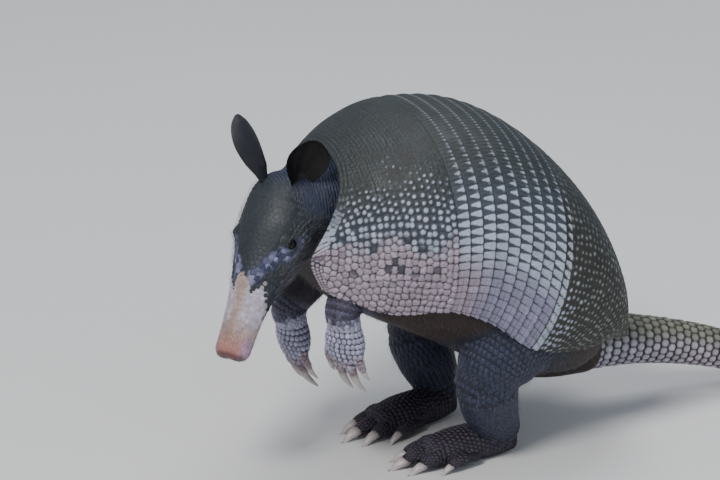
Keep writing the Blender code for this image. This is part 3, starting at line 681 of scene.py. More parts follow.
def shell_surface(shares, height, width):
    """Points and outward directions of the shell: at each share along it, a slice between the back
    line and the edge line, both Catmull-Rom curves through the stations."""
    shares = np.asarray(shares, float)
    if shares.ndim == 1:
        shares = shares[:, None]
    shares = np.broadcast_to(shares, (len(shares), len(height)))

    def place(s):
        """Points at these shares along the shell."""
        held = smooth_curve(list(STATIONS.values()), s.reshape(-1)).reshape(*s.shape, 6)
        back, edge, half, bow = held[..., 0:2], held[..., 2:4], held[..., 4], held[..., 5]
        side = edge + (back - edge) * height[:, None]
        side[..., 0] += bow * 4 * height * (1 - height)
        return np.stack([half * width, side[..., 0], side[..., 1]], axis=-1)

    points = place(shares)
    along = place(np.clip(shares + 0.004, 0, 1)) - place(np.clip(shares - 0.004, 0, 1))
    return points, unit(np.cross(along, np.gradient(points, axis=1)))


def rim_share(height):
    """Where the shell's front rim lies at each height: it bulges into a lobe beside the neck."""
    above = np.cos(math.pi / 2 * np.clip((height - LOBE_AT) / (1 - LOBE_AT), 0, 1)) ** 2.4
    below = 1 - 0.5 * np.clip((LOBE_AT - height) / LOBE_AT, 0, 1) ** 2
    lobe = np.where(height > LOBE_AT, above, below)
    return station_share("rim") - lobe * LOBE_REACH * (station_share("rim") - station_share("before"))


def shell_measures(shares, height, width, rows=200):
    """Distances in mm over the shell at shares along it: round it from the back line, and along it
    back to its last row. Both are read from straight slices, so that they stay square to each other
    where the rim bulges."""
    shares = np.asarray(shares, float).reshape(len(shares), -1)
    shares = np.broadcast_to(shares, (len(shares), len(height)))
    first, last = shares.min(), shares.max()
    points, _ = shell_surface(np.linspace(first, last, rows), height, width)
    around, along = lengths(points, 1) / MM, lengths(points, 0) / MM
    middle = around.shape[1] // 2
    around = around - (around[:, middle - 1 : middle] + around[:, middle : middle + 1]) / 2
    place = (shares - first) / (last - first) * (rows - 1)
    row = np.minimum(place.astype(int), rows - 2)
    column = np.arange(len(height))[None, :]
    share = place - row
    around, along = (
        grid[row, column] * (1 - share) + grid[row + 1, column] * share for grid in (around, along)
    )
    return around, along - along[-1:].max()


def shield(name, node, shares, columns, pattern):
    """A shield as a plate whose outside rises by its pattern of scutes."""
    height, width = slice_profile(columns)
    points, out = shell_surface(shares, height, width)
    around, along = shell_measures(shares, height, width)
    rise, values = pattern(points, around, along, height[None, :] * np.ones_like(around))
    outside = points + out * (rise * MM)[..., None]
    picked = np.linspace(0, len(points) - 1, ROWS_INSIDE).round().astype(int)
    inside = points[picked] - out[picked] * PLATE
    made = plate(name, outside, inside, values, "shell_horn")
    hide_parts(node)


def scute_rise(near, second, pitch, groove_width=0.5, dome=0.35):
    """Height in mm of a field of scutes: each is a low dome, with a groove where two meet. The
    groove lies where the two nearest lattice points are equally far."""
    to_edge = (second - near) / 2
    body = ease(to_edge, 0.0, groove_width)
    return body * (0.22 + dome * np.clip(1 - (near / pitch / 0.62) ** 2, 0, 1)), body


def front_pattern(points, around, along, height):
    """Front shield. Rosettes on a staggered lattice: small pale dots high on the side, round pale
    scutes below them, and close-packed pinkish scutes low down, with a few dark gaps where the two
    meet. The back is finely pebbled, and the front rim has narrow rows."""
    look = bpy.context.scene.armadillo_looks
    from_rim = along - along[:1]
    measure = measure_of(points, around, along)
    line = height + 0.085 * waves(around, along, 46.0, 1.0)
    near, second, tone = lattice(around, along, FRONT_PITCH, 0.46, 1.0, measure)
    other = chance(np.round(tone * 997), 1.0, 5.0)
    rise, body = scute_rise(near, second, FRONT_PITCH[0], 0.6, 0.55)
    line = line + 0.06 * (tone - 0.5)
    size = np.interp(line, *DOT_RADII)
    size = size * (0.68 + 0.5 * other) ** ease(line, 0.36, 0.46)
    dot = ease(near, size + 0.26, size - 0.30)
    missing = 0.95 * ease(other, 0.76, 0.81) * ease(line, 0.22, 0.30) * ease(line, 0.50, 0.43)
    packed = body * ease(line, 0.45, 0.37)
    pale = np.maximum(dot, packed) * ease(line, 0.86, 0.72) * (1 - missing)
    # Pebbles of the back
    fine_near, fine_second, fine_tone = lattice(around + 1.0, along, PEBBLE_PITCH, 0.45, 12.0, measure)
    fine_rise, fine_body = scute_rise(fine_near, fine_second, PEBBLE_PITCH[0], 0.5, 0.25)
    high = ease(line, 0.66, 0.84)
    ground = (1 - pale) * (1 - high)
    rise = blend(rise, 0.7 * fine_rise + 0.2 * rise, high) - 0.10 * ground * (1 - fine_body)
    body = blend(body, fine_body, high)
    # Narrow rows of the rim
    rim = ease(from_rim, *RIM_ROWS[::-1])
    rim_measure = measure_of(points, around, from_rim)
    narrow, narrow_second, rim_tone = lattice(around, from_rim, RIM_PITCH, 0.12, 4.0, rim_measure)
    rim_rise, rim_body = scute_rise(narrow, narrow_second, RIM_PITCH[0], 0.4)
    rise, body = blend(rise, rim_rise, rim), blend(body, rim_body, rim)
    pale = blend(pale, ease(narrow, 1.35, 0.95) * ease(line, 0.84, 0.50), rim)
    tone = blend(blend(tone, fine_tone, high), rim_tone, rim)
    # Colours, with painted shade in the grooves and a painted highlight on the rims of the low pale scutes
    dark = blend(look.front_dark, look.back_dark, ease(height, 0.50, 0.80))
    # Painted shade: the ground darkens in the grooves between the pebbles, and it is darker where scutes
    # are missing.
    dark = dark * ((0.86 + 0.20 * fine_body) * (1 - 0.35 * missing))[..., None]
    low = blend(look.side_pale, look.low_pink, ease(line, 0.48, 0.36))
    # Painted shade: the colour darkens in the grooves between the scutes, most of all low down.
    shade = blend(0.66 + 0.34 * body, 0.34 + 0.66 * body, ease(line, 0.50, 0.36))
    # Painted highlight: the rim of each low pale scute is lighter.
    edge = ease(near / np.maximum(size, 0.5), 0.35, 0.9) * pale * ease(line, 0.46, 0.36)
    shade = shade * (1 + 0.16 * edge)
    colour = blend(dark, low, pale) * (0.86 + 0.28 * tone)[..., None] * shade[..., None]
    rise = rise * (1 + 0.5 * ease(line, 0.50, 0.36))
    return rise + 0.28 * dot * ease(line, 0.84, 0.64), {"Markings": colour, "Groove": 1 - body}


def rear_pattern(points, around, along, height):
    """Rear shield. Close scutes in uneven rows, dark with a small pale spot each, which is larger
    and paler beside the bands low down. The first row is of wedges, like a band's."""
    look = bpy.context.scene.armadillo_looks
    from_bands = along - along[:1]
    row = np.interp(np.arange(len(along)), [0, len(along) - 1], [0.0, np.median(from_bands[-1])])
    row = row[:, None] + 0.7 * waves(around, along, 30.0, 6.0)
    measure = measure_of(points, around, row)
    near, second, tone = lattice(around, row, REAR_PITCH, 0.42, 7.0, measure)
    # Cells stay of one size where the slices crowd together.
    crowd = np.clip(measure[0] * measure[2] - measure[1] ** 2, 0.05, 2.0) ** 0.25
    near, second = near / crowd, second / crowd
    rise, body = scute_rise(near, second, REAR_PITCH[0])
    first = ease(from_bands, 9.0, 6.5)
    share = np.clip((from_bands - FIRST_ROW[0]) / FIRST_ROW[1], 0, 1)
    wedge, _ = wedges(around, share, height, FIRST_ROW_PITCH, 0.5)
    size = 1.05 + 0.6 * ease(height, 0.45, 0.1) * ease(from_bands, 40.0, 6.0) + 0.25 * (tone - 0.5)
    size = size * (0.62 + 0.6 * chance(np.round(tone * 997), 2.0, 5.0))
    spot = ease(near, size + 0.35, size - 0.35)
    spot = spot * ease(height + 0.10 * waves(around, along, 60.0), 1.0, 0.62)
    pale = blend(spot * (0.75 + 0.25 * tone), wedge, first)
    dark = blend(look.rear_dark, look.back_dark, ease(height, 0.6, 0.9))
    lighter = np.maximum(first, ease(from_bands, 34.0, 8.0) * ease(height, 0.6, 0.3))
    light = blend(look.rear_spot, look.side_pale, lighter)
    bar = np.abs(np.mod(around / FIRST_ROW_PITCH + 0.5, 1.0) - 0.5)
    seam = ease(bar, 0.40, 0.49)
    body = blend(body, 1 - seam, first)
    # Painted shade: besides a random tone, the colour darkens in the grooves between the scutes and in the
    # first row's seams.
    shade = (0.84 + 0.32 * tone)[..., None] * (0.55 + 0.45 * body)[..., None]
    values = {"Markings": blend(dark, light, pale) * shade, "Groove": 1 - body}
    return blend(rise, 0.15 + 0.35 * wedge - 0.2 * seam, first), values


def wedges(around, share, height, pitch, shift):
    """Pale wedges along a band, apex forward and rear edge round: each widens with the share of the
    band's length. High on the back they shrink to dots, and low down they widen to rectangles."""
    place = around / pitch + shift
    number = np.floor(place)
    tone = chance(number, shift * 10, 3.0)
    beside = np.abs(place - number - 0.5) * pitch
    line = height - 0.05 + 0.05 * (tone - 0.5)
    size, root, reach = (
        np.interp(line, *table) for table in (WEDGE_WIDTHS, WEDGE_ROOTS, WEDGE_STARTS)
    )
    along = np.clip((share - reach) / (1 - reach), 0, 1)
    half = pitch / 2 * size * (root + (1 - root) * along**0.75)
    rounding = 0.30 * (beside / (half + 0.01)) ** 2 * (0.3 + size)
    mask = ease(beside, half + 0.22, half - 0.28) * ease(along, 0.02, 0.10)
    mask = mask * ease(share, 0.985 - 0.1 * rounding, 0.90 - 0.25 * rounding)
    return mask * ease(line, 1.0, 0.62), tone


def build_band(number, start, step):
    """One band: a plate whose outside rises from under the band before it to a rounded lip, which
    reaches a little over the next one. Low down its scutes are split across. High on the back they
    are narrow ridges with pits between them and pale ends."""
    look = bpy.context.scene.armadillo_looks
    height, width = slice_profile(BAND_GRID[1])
    share = np.linspace(0, 1, BAND_GRID[0])
    points, out = shell_surface(start + share * step * BAND_LENGTH, height, width)
    around, _ = shell_measures(start + share * step * BAND_LENGTH, height, width)
    grown, line = np.broadcast_arrays(share[:, None], height[None, :])
    pitch = BAND_PITCH[0] + BAND_PITCH[1] * ease(number, 0, 3)
    mask, tone = wedges(around, grown, line, pitch, 0.5 + 0.31 * number)
    base = blend(-0.9, 0.75, grown**0.8)
    lip = 0.55 * ease(grown, 0.93, 1.02)
    bar = np.abs(np.mod(around / pitch + 0.5 + 0.31 * number, 1.0) - 0.5)
    seam = ease(bar, 0.40, 0.5)
    high = ease(line, 0.60, 0.78)
    fine = np.abs(np.mod(around / RIDGE_PITCH + 0.37 * number, 1.0) - 0.5)
    pit = ease(fine, 0.30, 0.46) * ease(grown, 0.18, 0.40) * (0.35 + 0.65 * high) * (1 - mask)
    end = ease(fine, 0.34, 0.16) * ease(grown, 0.70, 0.86) * ease(grown, 0.985, 0.93) * high
    rise = base + 0.32 * mask - lip - 0.16 * seam * (1 - high) - 0.30 * pit
    low = ease(line + 0.05 * (tone - 0.5), 0.30, 0.12)
    split = ease(np.abs(grown - 0.52), 0.05, 0.0) * low
    rise = rise - 0.3 * split
    dark = blend(look.band_dark, look.back_dark, ease(line, 0.62, 0.9))
    low_pale = blend(look.low_pink, look.low_lavender, ease(number, 0.0, 3.5))
    pale = blend(look.side_pale, low_pale, ease(line, 0.44, 0.22))
    # Painted shade: the ground is darker in the pits between the ridges.
    colour = blend(dark * (1 - 0.42 * pit)[..., None], pale, mask * (1 - 0.6 * split))
    colour = blend(colour, look.side_pale, 0.30 * end)
    colour = colour * (0.88 + 0.24 * tone)[..., None]
    values = {"Markings": colour, "Groove": np.clip(seam * (1 - mask) + split, 0, 1)}
    # The inside has four rows, and comes up to meet the lip.
    depth = blend(PLATE, 0.0006, ease(np.array((0.0, 0.45, 0.8, 1.0)), 0.7, 1.0))
    picked = np.array((0, 12, 20, BAND_GRID[0] - 1))
    inside = points[picked] + out[picked] * (base[picked] * MM - depth[:, None])[..., None]
    outside = points + out * (rise * MM)[..., None]
    made = plate(f"band_{number + 1}_scutes", outside, inside, values, "band_horn")
    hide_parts(f"band_{number + 1}")


def build_shell():
    """Front and rear shields, and the bands evenly spaced between them."""
    first, last = station_share("first_band"), station_share("last_band")
    height, _ = slice_profile(FRONT_GRID[1])
    mix = np.linspace(0, 1, FRONT_GRID[0])[:, None]
    shares = rim_share(height)[None, :] * (1 - mix) + (first + 0.002) * mix
    shield("shell_front_scutes", "shell_front", shares, FRONT_GRID[1], front_pattern)
    rear = last + (1.0 - last) * np.linspace(0, 1, REAR_GRID[0])
    shield("shell_rear_scutes", "shell_rear", rear, REAR_GRID[1], rear_pattern)
    edges = np.linspace(first, last, BAND_COUNT + 1)
    for number in range(BAND_COUNT):
        build_band(number, edges[number], edges[1] - edges[0])


# ---- Tail ----


def sweep(path, radii, across, around):
    """Rings of an elliptic tube along a path. Radii are (across, through) at each of its points."""
    path = np.asarray(path, float)
    radii = np.asarray(radii, float)
    along = unit(np.gradient(path, axis=0))
    across = np.asarray(across, float)
    side = unit(across - (along @ across)[:, None] * along)
    through = np.cross(along, side)
    turn = circle(around)
    wide = radii[:, None, None, 0] * np.cos(turn)[None, :, None] * side[:, None, :]
    deep = radii[:, None, None, 1] * np.sin(turn)[None, :, None] * through[:, None, :]
    return path[:, None, :] + wide + deep


def build_tail():
    """A tapering tube of overlapping scales: rings of two rows each near the root, plain rows
    towards the tip. Each scale is a squared-off dome that stands highest at its rear edge."""
    look = bpy.context.scene.armadillo_looks
    rows, around = TAIL_GRID
    shares = np.linspace(0, 1, rows)
    path = smooth_curve(TAIL_PATH, shares)
    radii = smooth_curve(np.array(TAIL_RADII)[:, None], shares)
    rings = sweep(path, np.repeat(radii, 2, axis=1), (1, 0, 0), around)
    out = unit(rings - path[:, None, :])
    run = lengths(path[:, None, :], 0)[:, 0] / MM
    phase = np.cumsum(np.gradient(run) / np.interp(run, *TAIL_RINGS)) * 2
    row = np.floor(phase)
    within = (phase - row)[:, None]
    girth = 2 * math.pi * np.interp(row + 0.5, phase, radii[:, 0])
    crowding = np.interp(run, *TAIL_CROWDING)
    count = np.maximum(np.round(girth / (TAIL_SCALE * MM) * crowding), 7)[:, None]
    turn = np.linspace(0, 1, around, endpoint=False)[None, :]
    place = turn * count + 0.5 * np.mod(row, 2)[:, None]
    number = np.mod(np.floor(place), count)
    x = np.abs(place - np.floor(place) - 0.5) * 2
    y = (within - 0.5) * 2 + 0 * x
    size = (np.abs(x) ** 2.3 + np.abs(y) ** 2.3) ** (1 / 2.3)
    body = ease(size, 1.00, 0.74)
    tone = chance(number, row[:, None] + 0 * number, 9.0)
    ringed = ease(run, 215.0, 170.0)[:, None]
    edge = np.mod(phase, 2.0)[:, None] / 2
    groove = ease(np.minimum(edge, 1 - edge), 0.09, 0.02) * ringed
    rise = 0.62 * body * (1 - 0.6 * size**2) + 0.34 * within * body
    rise = (rise - 0.9 * groove + 0.40 * ringed * edge) * np.interp(run, *TAIL_HEIGHTS)[:, None]
    points = rings + out * (rise * MM)[..., None]
    points[..., 2] = np.maximum(points[..., 2], 0.0)
    above = ease(out[..., 2], -0.2, 0.75)
    pale = blend(look.tail_pale, look.tail_top, above)
    pale = blend(pale, look.tail_pink, 0.5 * ease(run, 30, 110)[:, None] * (1 - above))
    # Painted light: each scale is lighter in its middle and towards its raised rear edge, and darker
    # towards its sides, as on a lit dome. Its tone also differs at random.
    domed = 0.74 + 0.34 * np.clip(1 - size**2, 0, 1) + 0.14 * (within - 0.5)
    shade = (0.78 + 0.44 * tone) * domed
    colour = blend(look.tail_dark, pale, body * (1 - 0.8 * groove)) * shade[..., None]
    values = {"Markings": capped(colour), "Groove": np.append((1 - body).ravel(), (0.0, 0.0))}
    made = tube("tail_scales", points, values=values, slot="tail_scale", finish=finishes["horn"])
    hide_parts("tail_1", "tail_2", "tail_3", "tail_4")


# ---- Head ----


def head_axes():
    """The head's own directions: along to the nose, left, and up out of its crown."""
    turn, nod = math.radians(HEAD_TURN), math.radians(HEAD_NOD)
    along = np.array([math.cos(nod) * math.sin(turn), -math.cos(nod) * math.cos(turn), -math.sin(nod)])
    left = np.array([math.cos(turn), math.sin(turn), 0.0])
    return along, left, np.cross(along, left)


def head_place(along, left, up):
    """Body places from places in the head's own directions."""
    way, side, crown = head_axes()
    place = np.array(HEAD_AT) + np.multiply.outer(along, way)
    return place + np.multiply.outer(left, side) + np.multiply.outer(up, crown)


def on_head(place, sign):
    """The body place of a place on the head, on its left where the sign is 1, or mirrored."""
    return head_place(place[0], place[1] * sign, place[2])


def head_surface(shares, turn, lift=0.0):
    """Points of the head at shares along it and angles round it, 0 at the crown: egg-shaped rings,
    wider below than above, on a Catmull-Rom curve through the head's slices."""
    slices = smooth_curve(HEAD_SLICES, shares)
    along, top, bottom, half = (slices[:, k, None] for k in range(4))
    middle, tall = (top + bottom) / 2, (top - bottom) / 2
    turn = np.atleast_2d(turn)
    wide = half * (1 - 0.10 * np.cos(turn))
    return head_place(along + 0 * turn, (wide + lift) * np.sin(turn), middle + (tall + lift) * np.cos(turn))


def head_share(along):
    """The share of the head's slices that lies this far along it."""
    shares = np.linspace(0, 1, 200)
    return float(np.interp(along, smooth_curve(HEAD_SLICES, shares)[:, 0], shares))


def head_colour(along, turn, tone):
    """Colour at a place along the head and an angle round it: a dark crown and darker cheeks, a painted
    reflection of the sky in blue and lilac on a row of scales that runs from each eye forward to the
    middle, and a cream snout in front of it whose edge dips back on each side, with a pale lilac painted
    reflection of the sky on its sides. The nose is pink, its lips lilac and its front dark."""
    look = bpy.context.scene.armadillo_looks
    t = np.degrees(np.abs(turn))
    colour = blend(look.shield_dark, look.head_hide, ease(t, 50, 80))
    colour = blend(colour, look.cheek_hide, ease(t, 85, 125))
    # Painted reflection: the sky's blue and lilac on the scales from each eye forward to the middle.
    row = np.interp(t, *SKY_REFLECTION_ROW)
    zone = ease(np.abs(along - row + 0.006 * (tone - 0.5)), 0.0120, 0.0060)
    zone = zone * ease(t, 86, 66) * ease(t, 4, 16)
    colour = blend(colour, look.crown_sky_reflection, 0.8 * zone)
    colour = blend(colour, look.scale_sky_reflection, 0.9 * zone * ease(tone, 0.40, 0.85))
    start = np.interp(t, *SNOUT_EDGE) + 0.009 * (tone - 0.5)
    snout = ease(along, start - 0.0008, start + 0.0012)
    under = ease(t, 118, 140) * ease(along, 0.106, 0.09)
    pale = blend(look.snout_pale, look.snout_under, under)
    # Painted reflection of the sky: pale lilac on the snout's sides.
    lilac = ease(along, 0.108, 0.084) * ease(t, 8, 26) * ease(t, 112, 88)
    pale = blend(pale, look.snout_sky_reflection, lilac * (0.55 + 0.45 * ease(tone, 0.2, 0.6)))
    colour = blend(colour, pale, snout)
    colour = blend(colour, look.nose_pink, ease(along + 0.004 * (tone - 0.5), 0.092, 0.113))
    lips = ease(along, 0.098, 0.106) * ease(t, 48, 75) * ease(t, 150, 120)
    colour = blend(colour, look.nose_lilac, 0.65 * lips)
    colour = blend(colour, look.nose_dark, 0.8 * ease(along, 0.1125, 0.1150))
    return colour * (1 + (0.28 - 0.16 * snout) * (tone - 0.5))[..., None]


def build_head_shield():
    """The crown's plate of irregular scales: lattice cells of about 4 mm on a strip of the head's own
    surface that narrows forwards and thins out at its edges."""
    look = bpy.context.scene.armadillo_looks
    rows, columns = HEAD_SHIELD_GRID
    shares = np.linspace(*(head_share(reach) for reach in HEAD_SHIELD), rows)
    taper = np.linspace(1.0, HEAD_SHIELD_TAPER, rows)[:, None]
    over = np.linspace(-1, 1, columns)[None, :]
    fans = over * math.radians(HEAD_SHIELD_HALF_ANGLE) * taper
    base = head_surface(shares, fans)
    out = unit(head_surface(shares, fans, MM) - base)
    around = lengths(base, 1) / MM
    around = around - around[:, columns // 2, None]
    along = lengths(base, 0) / MM
    bent = (around + 0.8 * waves(around, along, 17.0, 1.5), along + 0.8 * waves(along, around, 19.0, 2.5))
    near, second, tone = lattice(*bent, CROWN_PITCH, 0.5, 11.0)
    _, body = scute_rise(near, second, CROWN_PITCH[0], 0.45)
    from_side = np.minimum(around - around[:, :1], around[:, -1:] - around)
    from_edge = np.minimum(from_side, np.minimum(along, along[-1] - along))
    thick = (HEAD_SHIELD_THICK / MM - 0.35) * ease(from_edge, 0.0, 5.0) - 0.15 * ease(from_edge, 1.0, 0.0)
    reach = smooth_curve(HEAD_SLICES, shares)[:, :1]
    # Painted shade: the colour darkens in the grooves between the scales.
    colour = head_colour(reach + 0 * fans, fans, 0.25 + 0.5 * tone) * (0.80 + 0.20 * body)[..., None]
    fade = ease(along + 3.0 * waves(around, along, 6.0, 3.5), 9.0, 0.0)
    colour = blend(colour, look.head_hide, 0.9 * fade) * (1 - 0.15 * fade)[..., None]
    rise = body * (0.09 + 0.06 * np.clip(1 - (near / 2.4) ** 2, 0, 1))
    outside = base + out * ((thick + rise) * MM)[..., None]
    picked = np.linspace(0, rows - 1, 9).round().astype(int)
    inside = base[picked] - out[picked] * 0.0009
    values = {"Markings": colour, "Groove": 0.2 * (1 - body)}
    made = plate("head_shield_scales", outside, inside, values, "head_scale")
    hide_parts("head_shield")


def eye_frame(sign):
    """Middle of one eye, and the ways out of it, forwards and upwards."""
    way, side, crown = head_axes()
    out = unit(side * sign * EYE_WAY[1] + crown * EYE_WAY[2] + way * EYE_WAY[0])
    ahead = unit(way - (way @ out) * out)
    return on_head(EYE_AT, sign), out, ahead, np.cross(ahead, out) * sign


def build_eyes():
    """Each eye is a globe turned on the way out of its socket, with a slightly steeper clear front."""
    down = np.linspace(0.06, math.pi - 0.06, 26)[:, None]
    turn = circle(32)[None, :]
    radius = (EYE_RADIUS - 0.00005) * (1 + 0.05 * np.exp(-((down / 0.55) ** 2)))
    for side, sign in SIDES.items():
        middle, out, ahead, up = eye_frame(sign)
        globe = (
            (np.cos(down) * radius)[..., None] * out
            + (np.sin(down) * radius * np.cos(turn))[..., None] * ahead
            + (np.sin(down) * radius * np.sin(turn))[..., None] * up
        )
        made = tube(f"eye_{side}_globe", middle + globe, slot="eye", finish=finishes["eye"])
        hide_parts(f"eye_{side}")


def lid_rings(sign):
    """An eyelid as a ring of skin that hugs the globe: at each turn round the eye's opening, an oval
    section in steps of angle over the globe and of height off it. Returns also how far out each
    point lies, 0 at the opening and 1 at the outer margin."""
    middle, out, ahead, up = eye_frame(sign)
    turn, spin = circle(48)[:, None], circle(16)[None, :]
    outward = (1 + np.cos(spin)) / 2 + 0 * turn
    slope = 1.00 + 0.07 * np.cos(2 * turn) + 0.06 * np.sin(turn) + 0.28 * np.cos(spin)
    off = 0.20 + 0.14 * outward + (0.26 + 0.08 * np.sin(turn)) * np.sin(spin)
    side = np.cos(turn)[..., None] * ahead + np.sin(turn)[..., None] * up
    way = np.cos(slope)[..., None] * out + np.sin(slope)[..., None] * side
    return middle + (EYE_RADIUS + off * MM)[..., None] * way, outward


def ear_rings(side, sign):
    """An ear as a cupped leaf: each ring is a thin lens across it, and its width follows a power of
    a sine along its length. Fine ribs run up the inside. Returns also how far inside each point is."""
    axes = np.array(head_axes())
    way, face = (np.array(v) * (1, sign, 1) @ axes for v in EARS[side])
    way = unit(way)
    face = unit(face - (face @ way) * way)
    across = np.cross(way, face)
    along = np.concatenate([np.linspace(0.0, 0.97, 60), [0.985, 0.996]])[:, None]
    turn = circle(64)[None, :]
    over, through = np.cos(turn), np.sin(turn)
    leaf = np.maximum(np.sin(math.pi * (0.045 + 0.955 * along**1.4)), 0) ** 0.6
    half = EAR_HALF_WIDTH * np.maximum(leaf, 0.05) * (0.90 + 0.10 * along)
    bowl = EAR_CUP * (over**2 - 1) * (1 - along**3 * 0.75) * np.minimum(leaf * 1.6, 1)
    ribs = 0.00022 * np.sin(over * 11) * (through > 0) * ease(along, 0.1, 0.3) * ease(along, 0.95, 0.7)
    curl = 0.0022 * np.abs(over) ** 5 * ease(along, 0.05, 0.3) * leaf * ease(along, 1.0, 0.9)
    thick = EAR_THICK / 2 * np.sign(through) * np.abs(through) ** 0.7
    points = (
        on_head(EAR_ROOT, sign)
        + (along * EAR_LENGTH)[..., None] * way
        + (half * over)[..., None] * across
        + (bowl + curl + ribs + thick - EAR_THICK / 2)[..., None] * face
    )
    return points, np.clip(through, 0, 1) + 0 * along


# ---- Limbs ----


def limb(path, radii, across, rings=40, around=40, domes=(False, True)):
    """Rings of a limb along a smooth path. Its start and its end can close over in a dome."""
    shares = np.linspace(0, 1, rings)
    points = smooth_curve(path, shares)
    sizes = smooth_curve(radii, shares)
    steps = np.sin(np.linspace(0.2, 1.45, 8))[:, None]
    for domed in domes[::-1]:
        if domed:
            reach = unit(points[-1] - points[-2]) * sizes[-1].min()
            sizes = np.vstack([sizes, sizes[-1] * np.sqrt(1 - steps**2)])
            points = np.vstack([points, points[-1] + reach * steps])
        points, sizes = points[::-1], sizes[::-1]
    return sweep(points, sizes, across, around)


def digit_paths(root, ahead, across, up, spec, droop):
    """For each digit, its path, its radius, and the path and radius of its claw."""
    made = []
    for out, start, length, radius, claw, claw_radius in spec:
        way = unit(ahead + across * out * DIGIT_SPREAD)
        begin = root + ahead * (start - DIGIT_ROOT) + across * out
        knuckle = begin + way * (DIGIT_ROOT + length * 0.5) + up * radius * 0.3
        end = begin + way * (DIGIT_ROOT + length) - up * droop * 0.25
        toe = smooth_curve([begin, knuckle, end], np.linspace(0, 1, 24))
        way = unit(toe[-1] - toe[-2])
        bend = unit(way - up * (0.5 + droop * 20))
        tip = end + way * claw * 0.5 + bend * claw * 0.45
        nail = smooth_curve([end - way * 0.0022, end + way * claw * 0.35, tip], np.linspace(0, 1, 26))
        made.append((toe, radius, nail, claw_radius))
    return made


def paw_frame(side):
    """Elbow and wrist of one arm, and the ways its paw hangs, faces and runs across."""
    elbow, wrist = (np.array(place) for place in ARMS[side])
    hang, back = (unit(v) for v in PAWS[side])
    return elbow, wrist, hang, back, np.cross(hang, back) * SIDES[side]


def foot_frame(side):
    """Heel of one hind foot, and the ways it points and runs across."""
    heel, ahead = (np.array(v) for v in FEET[side])
    ahead = unit(ahead)
    return heel, ahead, np.cross(ahead, UP) * -SIDES[side]


def digits_of(foot, side):
    """The digits of one paw or hind foot, and the way across it."""
    if foot == "fore":
        _, wrist, hang, back, across = paw_frame(side)
        return digit_paths(wrist, hang, across, back, FINGERS, PAW_DROOP), across
    heel, ahead, across = foot_frame(side)
    return digit_paths(heel * (1, 1, 0) + UP * TOE_ROOT_Z, ahead, across, UP, TOES, FOOT_DROOP), across


def digit_rings(toe, radius, across, around=28):
    """A digit: a tube with a slight knuckle and a domed end."""
    sizes = smooth_curve(DIGIT_SHAPE, np.linspace(0, 1, len(toe))) * radius
    way = unit(toe[-1] - toe[-2])
    steps = np.array((0.35, 0.7, 0.95))[:, None]
    toe = np.vstack([toe, toe[-1] + way * radius * 0.6 * steps])
    return sweep(toe, np.vstack([sizes, sizes[-1] * np.sqrt(1 - steps**2)]), across, around)


def limb_lofts():
    """Name and rings of each fleshy length of the limbs, and of the head. The rings are grids
    (ring, point, xyz)."""
    made = {}
    for side, sign in SIDES.items():
        made[f"thigh_{side}"] = limb(THIGHS[side], THIGH_RADII, (sign, 0.3, 0))
        made[f"shank_{side}"] = limb(SHANKS[side], SHANK_RADII, (sign, 0.2, 0), domes=(True, True))
        heel, ahead, across = foot_frame(side)
        path = [heel + ahead * share * SOLE_LENGTH for share in np.linspace(0, 1, len(SOLE_RADII))]
        made[f"sole_{side}"] = limb(path, SOLE_RADII, across)
        elbow, wrist, hang, _, across = paw_frame(side)
        arm = [elbow, wrist - hang * 0.012, wrist]
        made[f"arm_{side}"] = limb(arm, ARM_RADII, across, domes=(False, False))
        path = [wrist + hang * (share * PALM_LENGTH) for share in (-0.2, 0, 0.33, 0.67, 1)]
        made[f"palm_{side}"] = limb(path, [ARM_RADII[-1], *PALM_RADII], across)
        for foot, slim in DIGIT_SLIM.items():
            paths, across = digits_of(foot, side)
            for number, (toe, radius, _, _) in enumerate(paths, 1):
                made[f"digit_{foot}_{side}_{number}"] = digit_rings(toe, radius * slim, across)
    made["head"] = head_surface(np.linspace(0, 1, 90), circle(72))
    return made


def build_claws():
    """Each claw is a curved horn: its width falls with a power of the way along, and it starts inside
    the digit's end. One half of a hind claw's section is flatter than the other."""
    look = bpy.context.scene.armadillo_looks
    turn = circle(20)
    for foot in DIGIT_SLIM:
        for side in SIDES:
            paths, across = digits_of(foot, side)
            for number, (_, _, nail, radius) in enumerate(paths, 1):
                share = np.linspace(0, 1, len(nail))
                size = radius * (1.0 - 0.86 * share**1.9)
                tall = size * (0.88 + 0.10 * share)
                rings = sweep(nail, np.stack([size, tall], axis=-1), across, len(turn))
                middle = nail[:, None, :]
                flat = 1 - 0.22 * np.clip(np.sin(turn), 0, 1)[None, :, None] * (foot == "hind")
                rings = middle + (rings - middle) * flat
                rings[..., 2] = np.maximum(rings[..., 2], 0.0)
                stain = ease(share, 0.42, 0.05)[:, None] + 0 * turn[None, :]
                colour = capped(blend(look.claw_pale, look.claw_root, stain))
                name = f"claw_{foot}_{side}_{number}"
                looks = {"values": {"Markings": colour}, "slot": "claw_horn", "finish": finishes["claw"]}
                made = tube(f"{name}_horn", rings, **looks)
                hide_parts(name)


# ---- Skin ----


def trunk_rings(rows=70, columns=96, below=44):
    """Rings round the trunk: under the shell's inside above, and a belly below that hangs between
    the shell's edges on a power of a sine."""
    height, width = slice_profile(columns)
    shares = np.linspace(station_share("rim") + 0.01, 0.975, rows)
    points, out = shell_surface(shares, height, width)
    top = points - out * (PLATE + UNDER_PLATE)
    belly = smooth_curve(BELLY, shares)
    left, right = top[:, -1], top[:, 0]
    middle = (left + right) / 2
    down = np.stack([0 * belly[:, 0], belly[:, 0], belly[:, 1]], axis=-1) - middle
    turn = np.linspace(0, math.pi, below + 2)[1:-1]
    lower = middle[:, None, :] + (np.sin(turn) ** 0.8)[None, :, None] * down[:, None, :]
    lower[..., 0] = np.cos(turn)[None, :] * left[:, :1]
    return np.concatenate([top, lower], axis=1)


